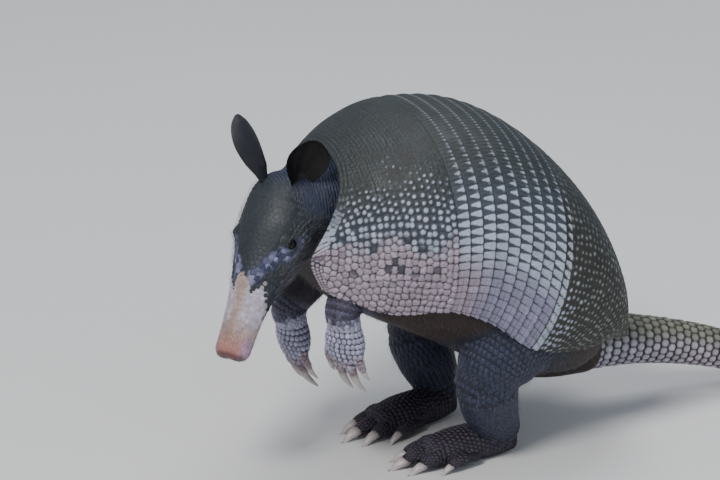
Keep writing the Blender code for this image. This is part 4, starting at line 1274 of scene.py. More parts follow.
def closed_mesh(edit, rings, loop=False):
    """Adds a closed tube through rings to an edit mesh. A loop's last ring joins its first."""
    points = rings.reshape(-1, 3) if loop else capped(rings)
    quads, ends = tube_faces(*rings.shape[:2], loop)
    mesh = bpy.data.meshes.new("part")
    mesh.from_pydata(points.tolist(), [], quads.tolist() + ends.tolist())
    face_outwards(mesh)
    edit.from_mesh(mesh)
    bpy.data.meshes.remove(mesh)


def numbers_of(things, key, width, kind=np.float32):
    """One property of all of a mesh's points, edges, faces or corners, as rows of this width."""
    found = np.empty(len(things) * width, kind)
    things.foreach_get(key, found)
    return found.reshape(-1, width)


def points_of(mesh):
    """Places of a mesh's points."""
    return numbers_of(mesh.vertices, "co", 3).astype(float)


def edges_of(mesh):
    """Pairs of point numbers, one for each edge of a mesh."""
    return numbers_of(mesh.edges, "vertices", 2, np.int32)


def relaxed(points, edges, times, amount):
    """Moves each point towards the mean of its neighbours and back a little further (Taubin's
    smoothing), so that steps go and the volume stays. The amount may differ from point to point."""
    a, b = edges[:, 0], edges[:, 1]
    count = np.bincount(edges.ravel(), minlength=len(points))[:, None]
    amount = np.broadcast_to(np.asarray(amount, float).reshape(-1, 1), (len(points), 1))
    for _ in range(times):
        for factor in (1.0, -1.04):
            total = np.stack([
                np.bincount(a, points[b, k], len(points)) + np.bincount(b, points[a, k], len(points))
                for k in range(3)
            ], axis=-1)
            points = points + factor * amount * (total / count - points)
    return points


def from_path(points, path):
    """Distance of each point from a path of straight steps, and the share of the path beside it."""
    best = np.full(len(points), 1e9)
    share = np.zeros(len(points))
    path = np.asarray(path, float)
    for number, (a, b) in enumerate(zip(path[:-1], path[1:])):
        way = b - a
        part = np.clip((points - a) @ way / (way @ way), 0, 1)
        gap = np.linalg.norm(points - a - part[:, None] * way, axis=1)
        closer = gap < best
        best = np.where(closer, gap, best)
        share = np.where(closer, (number + part) / (len(path) - 1), share)
    return best, share


def head_measures(points):
    """Places of body points in the head's own directions: along, left and up."""
    return ((points - np.array(HEAD_AT)) @ np.array(head_axes()).T).T


def region_weights(points):
    """How far each skin point belongs to the head, the legs, the feet, the paws and the arms: 1
    near the region's own path, and 0 past a reach from it."""
    along, left, up = head_measures(points)
    half, middle = head_section(along)
    beside = np.hypot(left, up - middle)
    head = ease(beside, 1.45 * half + 0.008, 1.3 * half + 0.002) * ease(along, -0.010, 0.004)
    weights = {"head": head}
    for side in SIDES:
        heel, ahead, _ = foot_frame(side)
        elbow, wrist, hang, _, _ = paw_frame(side)
        for region, path, reach, full in (
            ("legs", THIGHS[side], 0.044, 0.030),
            ("legs", SHANKS[side], 0.034, 0.024),
            ("feet", [heel, heel + ahead * 0.095], 0.034, 0.020),
            ("paws", [wrist, wrist + hang * 0.045], 0.026, 0.018),
            ("arms", [elbow, wrist], 0.022, 0.015),
        ):
            near = ease(from_path(points, path)[0], reach, full)
            weights[region] = np.maximum(weights.get(region, 0), near)
    return weights


def skin_colours(points, weights):
    """Region colours of the hide, each eased into the next: belly, neck, legs, feet, forelimbs, whose dark
    is partly painted shadow, and on the head the dark crown and cheeks, the cream snout and the pink nose.
    Also how scaly, how folded and how wrinkled each point is."""
    look = bpy.context.scene.armadillo_looks
    along, left, up = head_measures(points)
    colour = np.broadcast_to(np.array(look.belly_hide), (len(points), 3))
    neck = ease(points[:, 1], -0.060, -0.085) * ease(points[:, 2], 0.13, 0.16)
    for hide, share in (
        (look.neck_hide, neck),
        (look.leg_hide, weights["legs"]),
        (look.foot_hide, weights["feet"] * ease(points[:, 2], 0.036, 0.020)),
        # The forearms are dark: dark hair, and painted shadow under the shell.
        (look.arm_hide_and_shadow, weights["arms"]),
        (look.paw_gap, weights["paws"]),
    ):
        colour = blend(colour, hide, share)
    turn = head_turn(along, left, up)
    beside = np.abs(turn)
    _, _, tone = lattice(turn * 20.0, along / MM, (3.0, 2.6), 0.5, 21.0)
    face = head_colour(along, turn, 0.3 + 0.4 * tone)
    streak = waves(beside * 22.0, along / MM / 6, 2.3, 0.8)
    cheek = ease(beside, 0.9, 1.4) * ease(along, 0.085, 0.07)
    face = face * (1 + 0.45 * streak * cheek)[:, None]
    nape = ease(along, 0.020, 0.004) * ease(beside, 0.5, 1.0)
    face = blend(face, look.neck_hide, nape)
    for sign in SIDES.values():
        eye = np.linalg.norm(points - on_head(EYE_AT, sign), axis=1)
        face = blend(face, look.lids_and_painted_shade, 0.4 * ease(eye, 0.0085, 0.0045))
        # Painted shade: the nostrils' openings are dark.
        hole = np.linalg.norm(points - on_head(NOSTRIL_AT, sign), axis=1)
        face = blend(face, look.lids_and_painted_shade, ease(hole, 0.0033, 0.0016))
    # Painted shadow: the mouth's line is dark, in the gap between the upper lip and the lower jaw.
    face = blend(face, look.lids_and_painted_shade, 0.8 * mouth_groove(along, up))
    head = weights["head"]
    return blend(colour, face, head), {
        "Scaly": 0.5 * np.maximum(np.maximum(weights["paws"], weights["arms"]), 0.8 * weights["feet"]),
        "Folds": np.maximum(neck * (1 - head), nape * head),
        "Wrinkles": 1 - head * blend(0.4, 0.7, ease(along, 0.06, 0.075)),
    }


def head_section(along):
    """Half width and middle height of the head at distances along it."""
    slices = smooth_curve(HEAD_SLICES, np.linspace(0, 1, 120))
    half = np.interp(along, slices[:, 0], slices[:, 3])
    return half, np.interp(along, slices[:, 0], (slices[:, 1] + slices[:, 2]) / 2)


def head_turn(along, left, up):
    """Angle round the head, 0 at the crown, of places in the head's own directions."""
    return np.arctan2(left, up - head_section(along)[1])


def mouth_groove(along, up):
    """1 in the mouth's line, a shallow S that runs back low on each side from the nose's tip."""
    line = MOUTH_UP - 0.0012 * np.sin((along - 0.078) * 80)
    return ease(np.abs(up - line), 0.0015, 0.0005) * ease(along, 0.070, 0.078)


def bell(distance, width, middle=0.0):
    """A bell curve: 1 at the middle, and e^-1 at a width from it."""
    return np.exp(-(((distance - middle) / width) ** 2))


def shape_head(points, normals, weight):
    """Draws the head's features into the skin, most as bell curves of the distance from a place:
    eye sockets with a brow over them, nostrils, the mouth's line, the nose's soft pad, cheeks and a
    few folds behind the jaw."""
    along, _, up = head_measures(points)
    rise = np.zeros(len(points))
    for sign in SIDES.values():
        middle, out, _, lift = eye_frame(sign)
        away = points - middle
        depth = away @ out
        gap = np.linalg.norm(away - depth[:, None] * out, axis=1)
        near = ease(depth, -0.004, 0.0)
        rise += 0.0016 * bell(gap, 0.0050) * ease(gap, 0.0012, 0.0038) * near
        rise -= 0.0009 * ease(gap, 0.0030, 0.0012) * near
        brow = np.linalg.norm(away - lift * 0.0048, axis=1)
        rise += 0.0013 * bell(brow, 0.0048) * ease(gap, 0.0020, 0.0040)
        hole = np.linalg.norm(points - on_head(NOSTRIL_AT, sign), axis=1)
        rise -= 0.0026 * ease(hole, 0.0026, 0.0011)
        rise += 0.0007 * bell(hole, 0.0011, 0.0034)
        cheek = np.linalg.norm(points - on_head(CHEEK_AT, sign), axis=1)
        rise += 0.0012 * bell(cheek, 0.012)
    rise -= 0.0009 * mouth_groove(along, up)
    rise += 0.0005 * ease(along, 0.107, 0.111)
    folds = np.sin((along + 0.35 * up) * 2 * math.pi / 0.0075) * ease(along, 0.03, 0.0)
    rise += 0.00035 * folds * ease(up, -0.012, -0.022)
    return points + normals * (rise * weight)[:, None]


def normals_of(mesh):
    """Outward ways of a mesh's points."""
    mesh.update()
    return numbers_of(mesh.vertex_normals, "vector", 3).astype(float)


def put_points(mesh, points):
    """Moves a mesh's points to these places."""
    mesh.vertices.foreach_set("co", points.astype(np.float32).ravel())
    mesh.update()


def evaluated_copy(thing):
    """The object's mesh with its modifiers applied, put back in it."""
    graph = bpy.context.evaluated_depsgraph_get()
    mesh = bpy.data.meshes.new_from_object(thing.evaluated_get(graph))
    thing.modifiers.clear()
    old = thing.data
    thing.data = mesh
    bpy.data.meshes.remove(old)


def merged_lofts(lofts):
    """The skin's first shape: lofts of the head, trunk, neck, limbs, groin and tail's root, cut off
    at the floor and merged on a voxel grid."""
    neck = limb([*NECK_PATH, tuple(head_place(*NECK_END))], NECK_RADII, (1, 0, 0))
    groin = limb(GROIN_PATH, GROIN_RADII, (0, 0, 1))
    root = np.array(TAIL_PATH[0])
    back = unit(np.array(TAIL_PATH[1]) - root)
    collar = limb([root + back * step for step in COLLAR_STEPS], COLLAR_RADII, (1, 0, 0))
    edit = bmesh.new()
    for rings in (trunk_rings(), neck, groin, collar, *lofts.values()):
        rings = rings.copy()
        rings[..., 2] = np.maximum(rings[..., 2], 0.0)
        closed_mesh(edit, rings)
    mesh = bpy.data.meshes.new("skin")
    edit.to_mesh(mesh)
    edit.free()
    skin = bpy.data.objects.new("skin", mesh)
    bpy.context.scene.collection.objects.link(skin)
    remesh = skin.modifiers.new("merge", "REMESH")
    remesh.mode = "VOXEL"
    remesh.voxel_size = VOXEL
    evaluated_copy(skin)
    return skin


def under_shell(points):
    """1 for points that the shell hides: by their share along the middle of the stations' slices,
    and by their height over the shell's edge there."""
    rows = np.array(list(STATIONS.values()))
    middles = np.c_[0 * rows[:, 0], (rows[:, :2] + rows[:, 2:4]) / 2]
    _, share = from_path(points, smooth_curve(middles, np.linspace(0, 1, 80)))
    edge = np.interp(share, np.linspace(0, 1, len(rows)), rows[:, 3])
    return ease(share, 0.16, 0.20) * ease(share, 0.97, 0.93) * ease(points[:, 2] - edge, 0.010, 0.022)


def smooth_and_thin(skin):
    """Smooths the steps of the voxels, and makes faces coarse on the trunk, most of all where the
    shell hides them."""
    points = points_of(skin.data)
    weights = region_weights(points)
    detail = np.clip(weights["head"] + weights["paws"] + weights["feet"], 0, 1)
    points = relaxed(points, edges_of(skin.data), 9, 0.5 - 0.2 * detail)
    put_points(skin.data, points)
    limbs = np.clip(weights["legs"] + weights["head"] + weights["arms"], 0, 1)
    smooth = np.clip(0.55 + 0.45 * under_shell(points), 0, 1) * (1 - limbs) * (1 - detail)
    group = skin.vertex_groups.new(name="coarse")
    for level in (0.3, 0.6, 0.9):
        group.add(np.nonzero(smooth >= level)[0].tolist(), level, "REPLACE")
    thin = skin.modifiers.new("coarse", "DECIMATE")
    thin.ratio = COARSE_RATIO
    thin.vertex_group = "coarse"
    thin.vertex_group_factor = 3.0
    evaluated_copy(skin)
    skin.vertex_groups.clear()


def refine(mesh):
    """Splits each edge of the head and the paws in two, smooths them and shapes the head."""
    weights = region_weights(points_of(mesh))
    fine = (weights["head"] > 0.5) | (weights["paws"] > 0.5)

    def split(edit):
        """Cuts the chosen edges in two."""
        chosen = [edge for edge in edit.edges if all(fine[vert.index] for vert in edge.verts)]
        bmesh.ops.subdivide_edges(edit, edges=chosen, cuts=1, use_grid_fill=True)
        bmesh.ops.triangulate(edit, faces=[face for face in edit.faces if len(face.verts) > 4])

    edited(mesh, split)
    points = points_of(mesh)
    weights = region_weights(points)
    points = relaxed(points, edges_of(mesh), 3, 0.45 * np.maximum(weights["head"], weights["paws"]))
    put_points(mesh, points)
    points = shape_head(points, normals_of(mesh), weights["head"])
    points[:, 2] = np.maximum(points[:, 2], 0.0)
    put_points(mesh, points)


def build_skin():
    """One skin over the head, trunk and limbs: their lofts are merged on a voxel grid, smoothed,
    made coarse where the shell hides them and fine on the head and paws, and then shaped. Ears and
    eyelids are closed shapes of the same mesh."""
    look = bpy.context.scene.armadillo_looks
    lofts = limb_lofts()
    skin = merged_lofts(lofts)
    smooth_and_thin(skin)
    refine(skin.data)
    points = points_of(skin.data)
    colour, values = skin_colours(points, region_weights(points))
    colours, scaly = [colour], [values["Scaly"]]
    edit = bmesh.new()
    edit.from_mesh(skin.data)
    for side, sign in SIDES.items():
        ear, inner = ear_rings(side, sign)
        closed_mesh(edit, ear)
        inner = np.append(inner.ravel(), (0.0, 0.0))
        lids, outward = lid_rings(sign)
        closed_mesh(edit, lids, True)
        outward = outward.ravel()
        colours += [
            blend(look.ear_outside, look.ear_inside, ease(inner, 0.0, 0.2)),
            blend(look.lids_and_painted_shade, look.head_hide, ease(outward, 0.15, 0.7)),
        ]
        scaly += [np.full(len(inner), 0.25), np.zeros(len(outward))]
    edit.to_mesh(skin.data)
    edit.free()
    points = points_of(skin.data)
    more = (0, len(points) - len(colour))
    values["Folds"] = np.pad(values["Folds"], more)
    values["Wrinkles"] = np.pad(values["Wrinkles"], more, constant_values=0.5)
    values["Scaly"] = np.concatenate(scaly)
    put_points(skin.data, points - MIDDLE)
    set_values(skin.data, {"Markings": np.vstack(colours), **values})
    skin.data.materials.clear()
    skin.data.materials.append(finishes["hide"])
    skin.data.shade_smooth()
    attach(skin, "root")
    names = ["trunk", "neck", "head"]
    for side in SIDES:
        names += [f"{part}_{side}" for part in ("foreleg", "forepaw", "thigh", "shank", "hind_foot", "ear")]
    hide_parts(*names)
    return lofts


# ---- Scales and hair over the skin ----


def on_rings(rings, share, turn):
    """Points, outward ways and rearward ways on a tube of rings, at shares along it and round it."""
    count, around = rings.shape[:2]
    row = np.clip(share, 0, 1) * (count - 1)
    column = np.mod(turn, 1.0) * around
    r, c = np.minimum(row.astype(int), count - 2), column.astype(int) % around
    fr, fc = (row - r)[:, None], (column - np.floor(column))[:, None]
    after = (c + 1) % around
    upper = rings[r, c] * (1 - fc) + rings[r, after] * fc
    lower = rings[r + 1, c] * (1 - fc) + rings[r + 1, after] * fc
    along = unit(lower - upper)
    around_way = unit(rings[r, after] - rings[r, c])
    point = upper * (1 - fr) + lower * fr
    middle = rings.mean(axis=1)
    centre = middle[r] * (1 - fr) + middle[r + 1] * fr
    out = unit(np.cross(along, around_way))
    out = out * np.sign(np.sum(out * (point - centre), axis=1, keepdims=True))
    return point, out, along


def scale_places(rings, pitch, first=0.0, last=1.0):
    """Shares along and round a tube for staggered rows of scales, as many in a row as its girth takes."""
    run = lengths(rings.mean(axis=1)[:, None, :], 0)[:, 0]
    girth = np.linalg.norm(np.diff(rings, axis=1, append=rings[:, :1]), axis=-1).sum(axis=1)
    rows = np.arange(max(int((last - first) * run[-1] / (pitch * 0.86)), 1))
    places = first + (rows + 0.5) / len(rows) * (last - first)
    share, turn = [], []
    for row, place in zip(rows, places):
        number = max(int(round(np.interp(place * run[-1], run, girth) / pitch)), 5)
        share.append(np.full(number, place))
        turn.append((np.arange(number) + 0.5 * (row % 2)) / number)
    return np.concatenate(share), np.concatenate(turn)


def settle(points, out, surface):
    """Keeps the places that lie near the skin, and moves each onto it."""
    found, keep, normals = [], [], []
    for point, way in zip(points, out):
        place, normal, _, gap = surface.find_nearest(Vector(point - MIDDLE))
        keep.append(gap < SCALE_REACH and normal.dot(Vector(way)) > 0.55)
        found.append(place)
        normals.append(normal)
    keep = np.array(keep)
    return np.array(found)[keep] + MIDDLE, np.array(normals)[keep], keep


def tile_template():
    """A low domed scale: a hexagon, a raised hexagon inside it, and a middle point, pointed back."""
    turn = np.arange(6) * math.pi / 3
    outer = np.stack([np.cos(turn) * 0.54, np.sin(turn) * 0.52, np.full(6, -0.12)], axis=-1)
    middle = np.stack([np.cos(turn) * 0.45, np.sin(turn) * 0.43, 0.095 + 0.045 * np.cos(turn)], axis=-1)
    points = np.vstack([outer, middle, [(0.0, 0.0, 0.17)]])
    faces = []
    for k in range(6):
        after = (k + 1) % 6
        faces += [(k, after, 6 + after), (k, 6 + after, 6 + k), (6 + k, 6 + after, 12)]
    faces += [(0, k + 1, k) for k in range(1, 5)]
    return points, np.array(faces)


def hair_template():
    """A stiff hair: a three-sided spike in three steps that bends back over its length. Each point
    is (bend, across, through, rise), where bend and rise grow with the hair's length."""
    turn = np.arange(3) * 2 * math.pi / 3
    rings = []
    for share in np.array((0.0, 0.35, 0.7)):
        size = 0.5 * (1 - 0.65 * share)
        bend, rise = np.full(3, share**1.6 * 0.75), np.full(3, share * (1 - 0.35 * share))
        rings.append(np.stack([bend, size * np.cos(turn), size * np.sin(turn), rise], axis=-1))
    faces = []
    for step in range(2):
        for k in range(3):
            a, b = step * 3 + k, step * 3 + (k + 1) % 3
            faces += [(a, b, b + 3), (a, b + 3, a + 3)]
    faces += [(6 + k, 6 + (k + 1) % 3, 9) for k in range(3)] + [(0, 2, 1)]
    return np.vstack([*rings, (0.86, 0.0, 0.0, 0.68)]), np.array(faces)


def patch_map(mesh, charts, per):
    """A UV map named OFBake. Each small piece is one patch at its place on the unwrap, with its
    corners on a spiral in the golden angle."""
    held = mesh.uv_layers.new(name="OFBake")
    corner = numbers_of(mesh.loops, "vertex_index", 1, np.int32)[:, 0]
    within = corner % per
    spin = within * 2.399963
    reach = PATCH / 2 * np.sqrt((within + 0.5) / per)
    uv = charts[corner // per] + np.stack([np.cos(spin), np.sin(spin)], axis=-1) * reach[:, None]
    held.data.foreach_set("uv", np.clip(uv, 0, 1).astype(np.float32).ravel())


def joined(name, local, faces, roots, frames, values, charts, slot, finish):
    """Many small copies as one mesh. Local holds each copy's points in its frame's rearward, sideways
    and outward ways, values one row for each copy, and charts its root's place on the unwrap."""
    count, per = local.shape[:2]
    points = roots[:, None, :] + np.einsum("nvk,nkx->nvx", local, frames)
    tris = (faces[None] + np.arange(count)[:, None, None] * per).reshape(-1, 3)
    values = {key: np.repeat(array, per, axis=0) for key, array in values.items()}
    made = new_object(name, points, [], tris, values, slot, finish)
    patch_map(made.data, charts, per)


def frames_on(out, along, random, spread=0.0):
    """Ways of each small piece: back along the body with some spread, sideways, and outwards."""
    back = along - np.sum(along * out, axis=1, keepdims=True) * out
    back = unit(back + spread * (random.random(back.shape) - 0.5))
    back = unit(back - np.sum(back * out, axis=1, keepdims=True) * out)
    return np.stack([back, np.cross(out, back), out], axis=1)


def head_scales(roots, sizes, shade):
    """Colours of the scales on the head. Their sizes are made low on the snout, and zero where the
    cheeks and eyes are bare and where the crown's plate lies."""
    along, left, up = head_measures(roots)
    around = head_turn(along, left, up)
    hidden = np.abs(around) > np.where(along > 0.075, 1.9, 1.55)
    for sign in SIDES.values():
        hidden |= np.linalg.norm(roots - on_head(EYE_AT, sign), axis=1) < 0.0068
    hidden |= (np.abs(around) < math.radians(HEAD_SHIELD_HALF_ANGLE) * 0.86) & (along < 0.066)
    sizes[hidden] = 0.0
    sizes[:, 2] *= 1 - 0.75 * ease(along, 0.062, 0.078)
    return head_colour(along, around, shade)


def build_scales(lofts, surface):
    """Low scales on the snout and cheeks, forelimbs, thighs, shanks and feet, in staggered rows on
    their lofts and settled on the skin. Each is a domed hexagon, smaller towards the digits."""
    look = bpy.context.scene.armadillo_looks
    random = np.random.default_rng(7)
    gathered = {"paw_hide": [], "leg_hide": [], "head_hide": []}
    plans = [("head", "head")]
    for side in SIDES:
        for part in list(SCALES)[1:]:
            plans += [(name, part) for name in lofts if name.startswith(f"{part}_{side}")]
    for number, (name, part) in enumerate(plans):
        pitch, first, last, low, colour, slot = SCALES[part]
        share, turn = scale_places(lofts[name], pitch, first, last)
        point, out, along = on_rings(lofts[name], share, turn)
        raised = point[:, 2] > SCALE_FLOOR
        point, out, along, share, turn = (array[raised] for array in (point, out, along, share, turn))
        if not len(point):
            continue
        roots, normals, keep = settle(point, out, surface)
        if not len(roots):
            continue
        frames = frames_on(normals, along[keep], random, 0.12)
        size = pitch * (0.94 + 0.16 * random.random(len(roots)))
        tall = size * low * (0.9 + 0.3 * random.random(len(roots)))
        sizes = np.stack([size * 1.08, size, tall], axis=-1)
        shade = random.random(len(roots))
        tone = np.array(getattr(look, colour))[None, :] * (0.82 + 0.36 * shade)[:, None]
        # Above the wrist the forearm's scales are dark and low: dark hair, and painted shadow under the
        # shell.
        if part == "arm":
            pale = ease(share[keep] + 0.16 * (random.random(len(roots)) - 0.5), 0.58, 0.88)
            tone = blend(look.arm_scale_and_shadow, tone, pale)
            sizes[:, 2] *= 0.5 + 0.5 * pale
        if part == "head":
            tone = head_scales(roots, sizes, shade)
        # The unwrap lays each loft out in a cell of its own.
        cell = np.array((number % UNWRAP_CELLS, number // UNWRAP_CELLS))
        charts = (cell + np.stack([turn[keep], share[keep]], axis=-1) * 0.9) / UNWRAP_CELLS
        shown = sizes[:, 0] > 0
        gathered[slot].append([held[shown] for held in (roots, frames, sizes, tone, charts)])
    template, faces = tile_template()
    for slot, parts in gathered.items():
        roots, frames, sizes, tone, charts = (np.concatenate(held) for held in zip(*parts))
        local = template[None, :, :] * sizes[:, None, :]
        values = {"Markings": tone, "Wrinkles": np.full(len(roots), 0.3)}
        name = f"scales_{slot.split('_')[0]}"
        joined(name, local, faces, roots, frames, values, charts, slot, finishes["hide"])


def hair_density(middle, normal, weights):
    """How thick hair stands at places on the skin: densest on the cheeks and throat, thin on the
    forepaws, and none on the hind feet and near the floor."""
    along, _, up = head_measures(middle)
    cheek = ease(along, 0.075, 0.05) * ease(up, -0.002, -0.016) * ease(along, -0.004, 0.010)
    throat = ease(up, -0.026, -0.034) * ease(along, 0.09, 0.06)
    under = ease(normal[:, 2], 0.15, -0.35) * ease(middle[:, 2], 0.20, 0.16)
    density = 0.8 * under + weights["legs"] + 1.2 * weights["arms"]
    density += 4.5 * weights["head"] * (cheek + throat)
    density *= 1 - np.clip(weights["feet"] + 0.7 * weights["paws"], 0, 1)
    return density * ease(middle[:, 2], 0.008, 0.02)


def build_hair(skin):
    """Sparse hair, each one a thin spike that leans back: on the cheeks and throat, the belly, the
    thighs and shanks, and a few between the scales of the forelimbs."""
    look = bpy.context.scene.armadillo_looks
    random = np.random.default_rng(11)
    mesh = skin.data
    mesh.calc_loop_triangles()
    corners = numbers_of(mesh.loop_triangles, "vertices", 3, np.int32)
    a, b, c = np.swapaxes((points_of(mesh) + MIDDLE)[corners], 0, 1)
    cross = np.cross(b - a, c - a)
    area = np.linalg.norm(cross, axis=1) / 2
    normal = unit(cross)
    middle = (a + b + c) / 3
    weights = region_weights(middle)
    density = hair_density(middle, normal, weights)
    weight = area * np.where(area > 4e-6, 0.6 * density, density)
    chosen = random.choice(len(area), look.hair_count, p=weight / weight.sum())
    first, second = random.random(len(chosen)), random.random(len(chosen))
    flip = first + second > 1
    first, second = np.where(flip, 1 - first, first), np.where(flip, 1 - second, second)
    roots = a[chosen] + first[:, None] * (b - a)[chosen] + second[:, None] * (c - a)[chosen]
    face = weights["head"][chosen] > 0.5
    leg = weights["legs"][chosen]
    lie = np.where(face[:, None], -head_axes()[0], np.array(HAIR_LIE))
    frames = frames_on(normal[chosen], unit(lie), random, 0.8)
    length = blend(*HAIR_LENGTHS, leg) * (0.6 + 0.8 * random.random(len(chosen)))
    length = np.where(face, length * FACE_HAIR, length)[:, None]
    template, faces = hair_template()
    bend, across, through, rise = template.T
    high = through * HAIR_WIDTH + rise * length * 0.55 - 0.0004
    local = np.stack([bend * length, np.broadcast_to(across * HAIR_WIDTH, high.shape), high], axis=-1)
    tone = blend(look.hair_dark, look.hair_pale, random.random(len(chosen)) ** np.where(face, 0.7, 1.3))
    # The unwrap lays each region of the skin out round its own length in a cell of the map.
    cell = np.stack([face * 0.5, (leg > 0.5) * 0.5], axis=-1)
    place = middle[chosen]
    round_body = np.arctan2(place[:, 0], place[:, 2] - 0.12) / (2 * math.pi) + 0.5
    down_body = np.clip((place[:, 1] + 0.26) / 0.5, 0, 1)
    charts = cell + np.stack([round_body, down_body], axis=-1) * 0.47 + 0.01
    values = {"Markings": tone}
    joined("hair_sparse", local, faces, roots, frames, values, charts, "body_hide", finishes["hair"])


# ---- Stage ----


def build_floor():
    """A wide pale floor of rings round the middle, facing up."""
    made, tree, surface = new_material("Paper backdrop, matte", 0.9, 1.45)
    noise = add(tree, "TexNoise", {"Vector": add(tree, "TexCoord", out="Object"), "Scale": 3.0})
    ramp = add(tree, "MapRange", {"Value": noise, "To Min": 0.70, "To Max": 0.74})
    grey = add(tree, "CombineColor", dict.fromkeys(("Red", "Green", "Blue"), ramp))
    tree.links.new(grey, surface.inputs["Base Color"])
    turn = circle(64)
    reach = np.array(FLOOR_RINGS)[:, None]
    rim = np.stack([reach * np.cos(turn), reach * np.sin(turn), 0 * reach * turn], axis=-1)
    points = np.vstack([rim.reshape(-1, 3), (0.0, 0.0, 0.0)]) - UP * FLOOR_DROP
    quads, ends = tube_faces(*rim.shape[:2])
    floor = new_object("stage_floor", points + MIDDLE, quads, ends[: len(turn)], finish=made)

    def face_up(edit):
        """Turns the faces that look down."""
        bmesh.ops.reverse_faces(edit, faces=[face for face in edit.faces if face.normal.z < 0])

    edited(floor.data, face_up)


def add_lamp(name, place, size, power, colour):
    """A round soft light that aims at the body."""
    light = bpy.data.lights.new(name, "AREA")
    light.shape = "DISK"
    light.size = size
    light.energy = power
    light.color = colour
    lamp = bpy.data.objects.new(name, light)
    lamp.location = place
    lamp.rotation_euler = (Vector(LAMP_AIM) - Vector(place)).to_track_quat("-Z", "Y").to_euler()
    bpy.context.scene.collection.objects.link(lamp)


def add_camera():
    """The camera: it lies away from its aim, against the way that its azimuth and elevation give."""
    azimuth, rise = math.radians(CAMERA_AZIMUTH), math.radians(CAMERA_ELEVATION)
    right = np.array((math.cos(azimuth), math.sin(azimuth), 0.0))
    ahead = np.array((-math.sin(azimuth), math.cos(azimuth), 0.0))
    upward = ahead * math.sin(rise) + UP * math.cos(rise)
    away = UP * math.sin(rise) - ahead * math.cos(rise)
    aim = right * CAMERA_AIM[0] + upward * CAMERA_AIM[1] - MIDDLE
    lens = bpy.data.cameras.new("camera")
    lens.sensor_width = 36.0
    lens.lens = CAMERA_LENS
    lens.clip_start = 0.1
    lens.clip_end = 50.0
    camera = bpy.data.objects.new("camera", lens)
    camera.location = aim + away * CAMERA_DISTANCE
    camera.rotation_euler = Vector(-away).to_track_quat("-Z", "Y").to_euler()
    bpy.context.scene.collection.objects.link(camera)
    bpy.context.scene.camera = camera


def build_stage():
    """A wide pale floor, a pale sky, soft lights and the camera."""
    build_floor()
    world = bpy.data.worlds.new("studio")
    world.use_nodes = True
    sky = world.node_tree.nodes["Background"]
    sky.inputs["Color"].default_value = (0.80, 0.88, 1.0, 1.0)
    sky.inputs["Strength"].default_value = SKY_POWER
    bpy.context.scene.world = world
    power = bpy.context.scene.armadillo_looks.key_power
    add_lamp("key", (1.0, -1.3, 1.9), 0.8, power, (1.0, 0.97, 0.93))
    add_lamp("fill", (1.8, 1.1, 0.9), 1.8, power * 0.2, (0.86, 0.92, 1.0))
    add_lamp("top", (-0.5, 0.2, 2.2), 1.4, power * 0.5, (1.0, 1.0, 1.0))
    add_camera()


# ---- Add-on ----

finishes = {}


def tint(name, code, description):
    """A colour property that a user may change, given by its sRGB hex code."""
    looks = {"default": tuple(linear(code)), "size": 3, "min": 0, "max": 1, "subtype": "COLOR"}
    return bpy.props.FloatVectorProperty(name=name, description=description, **looks)


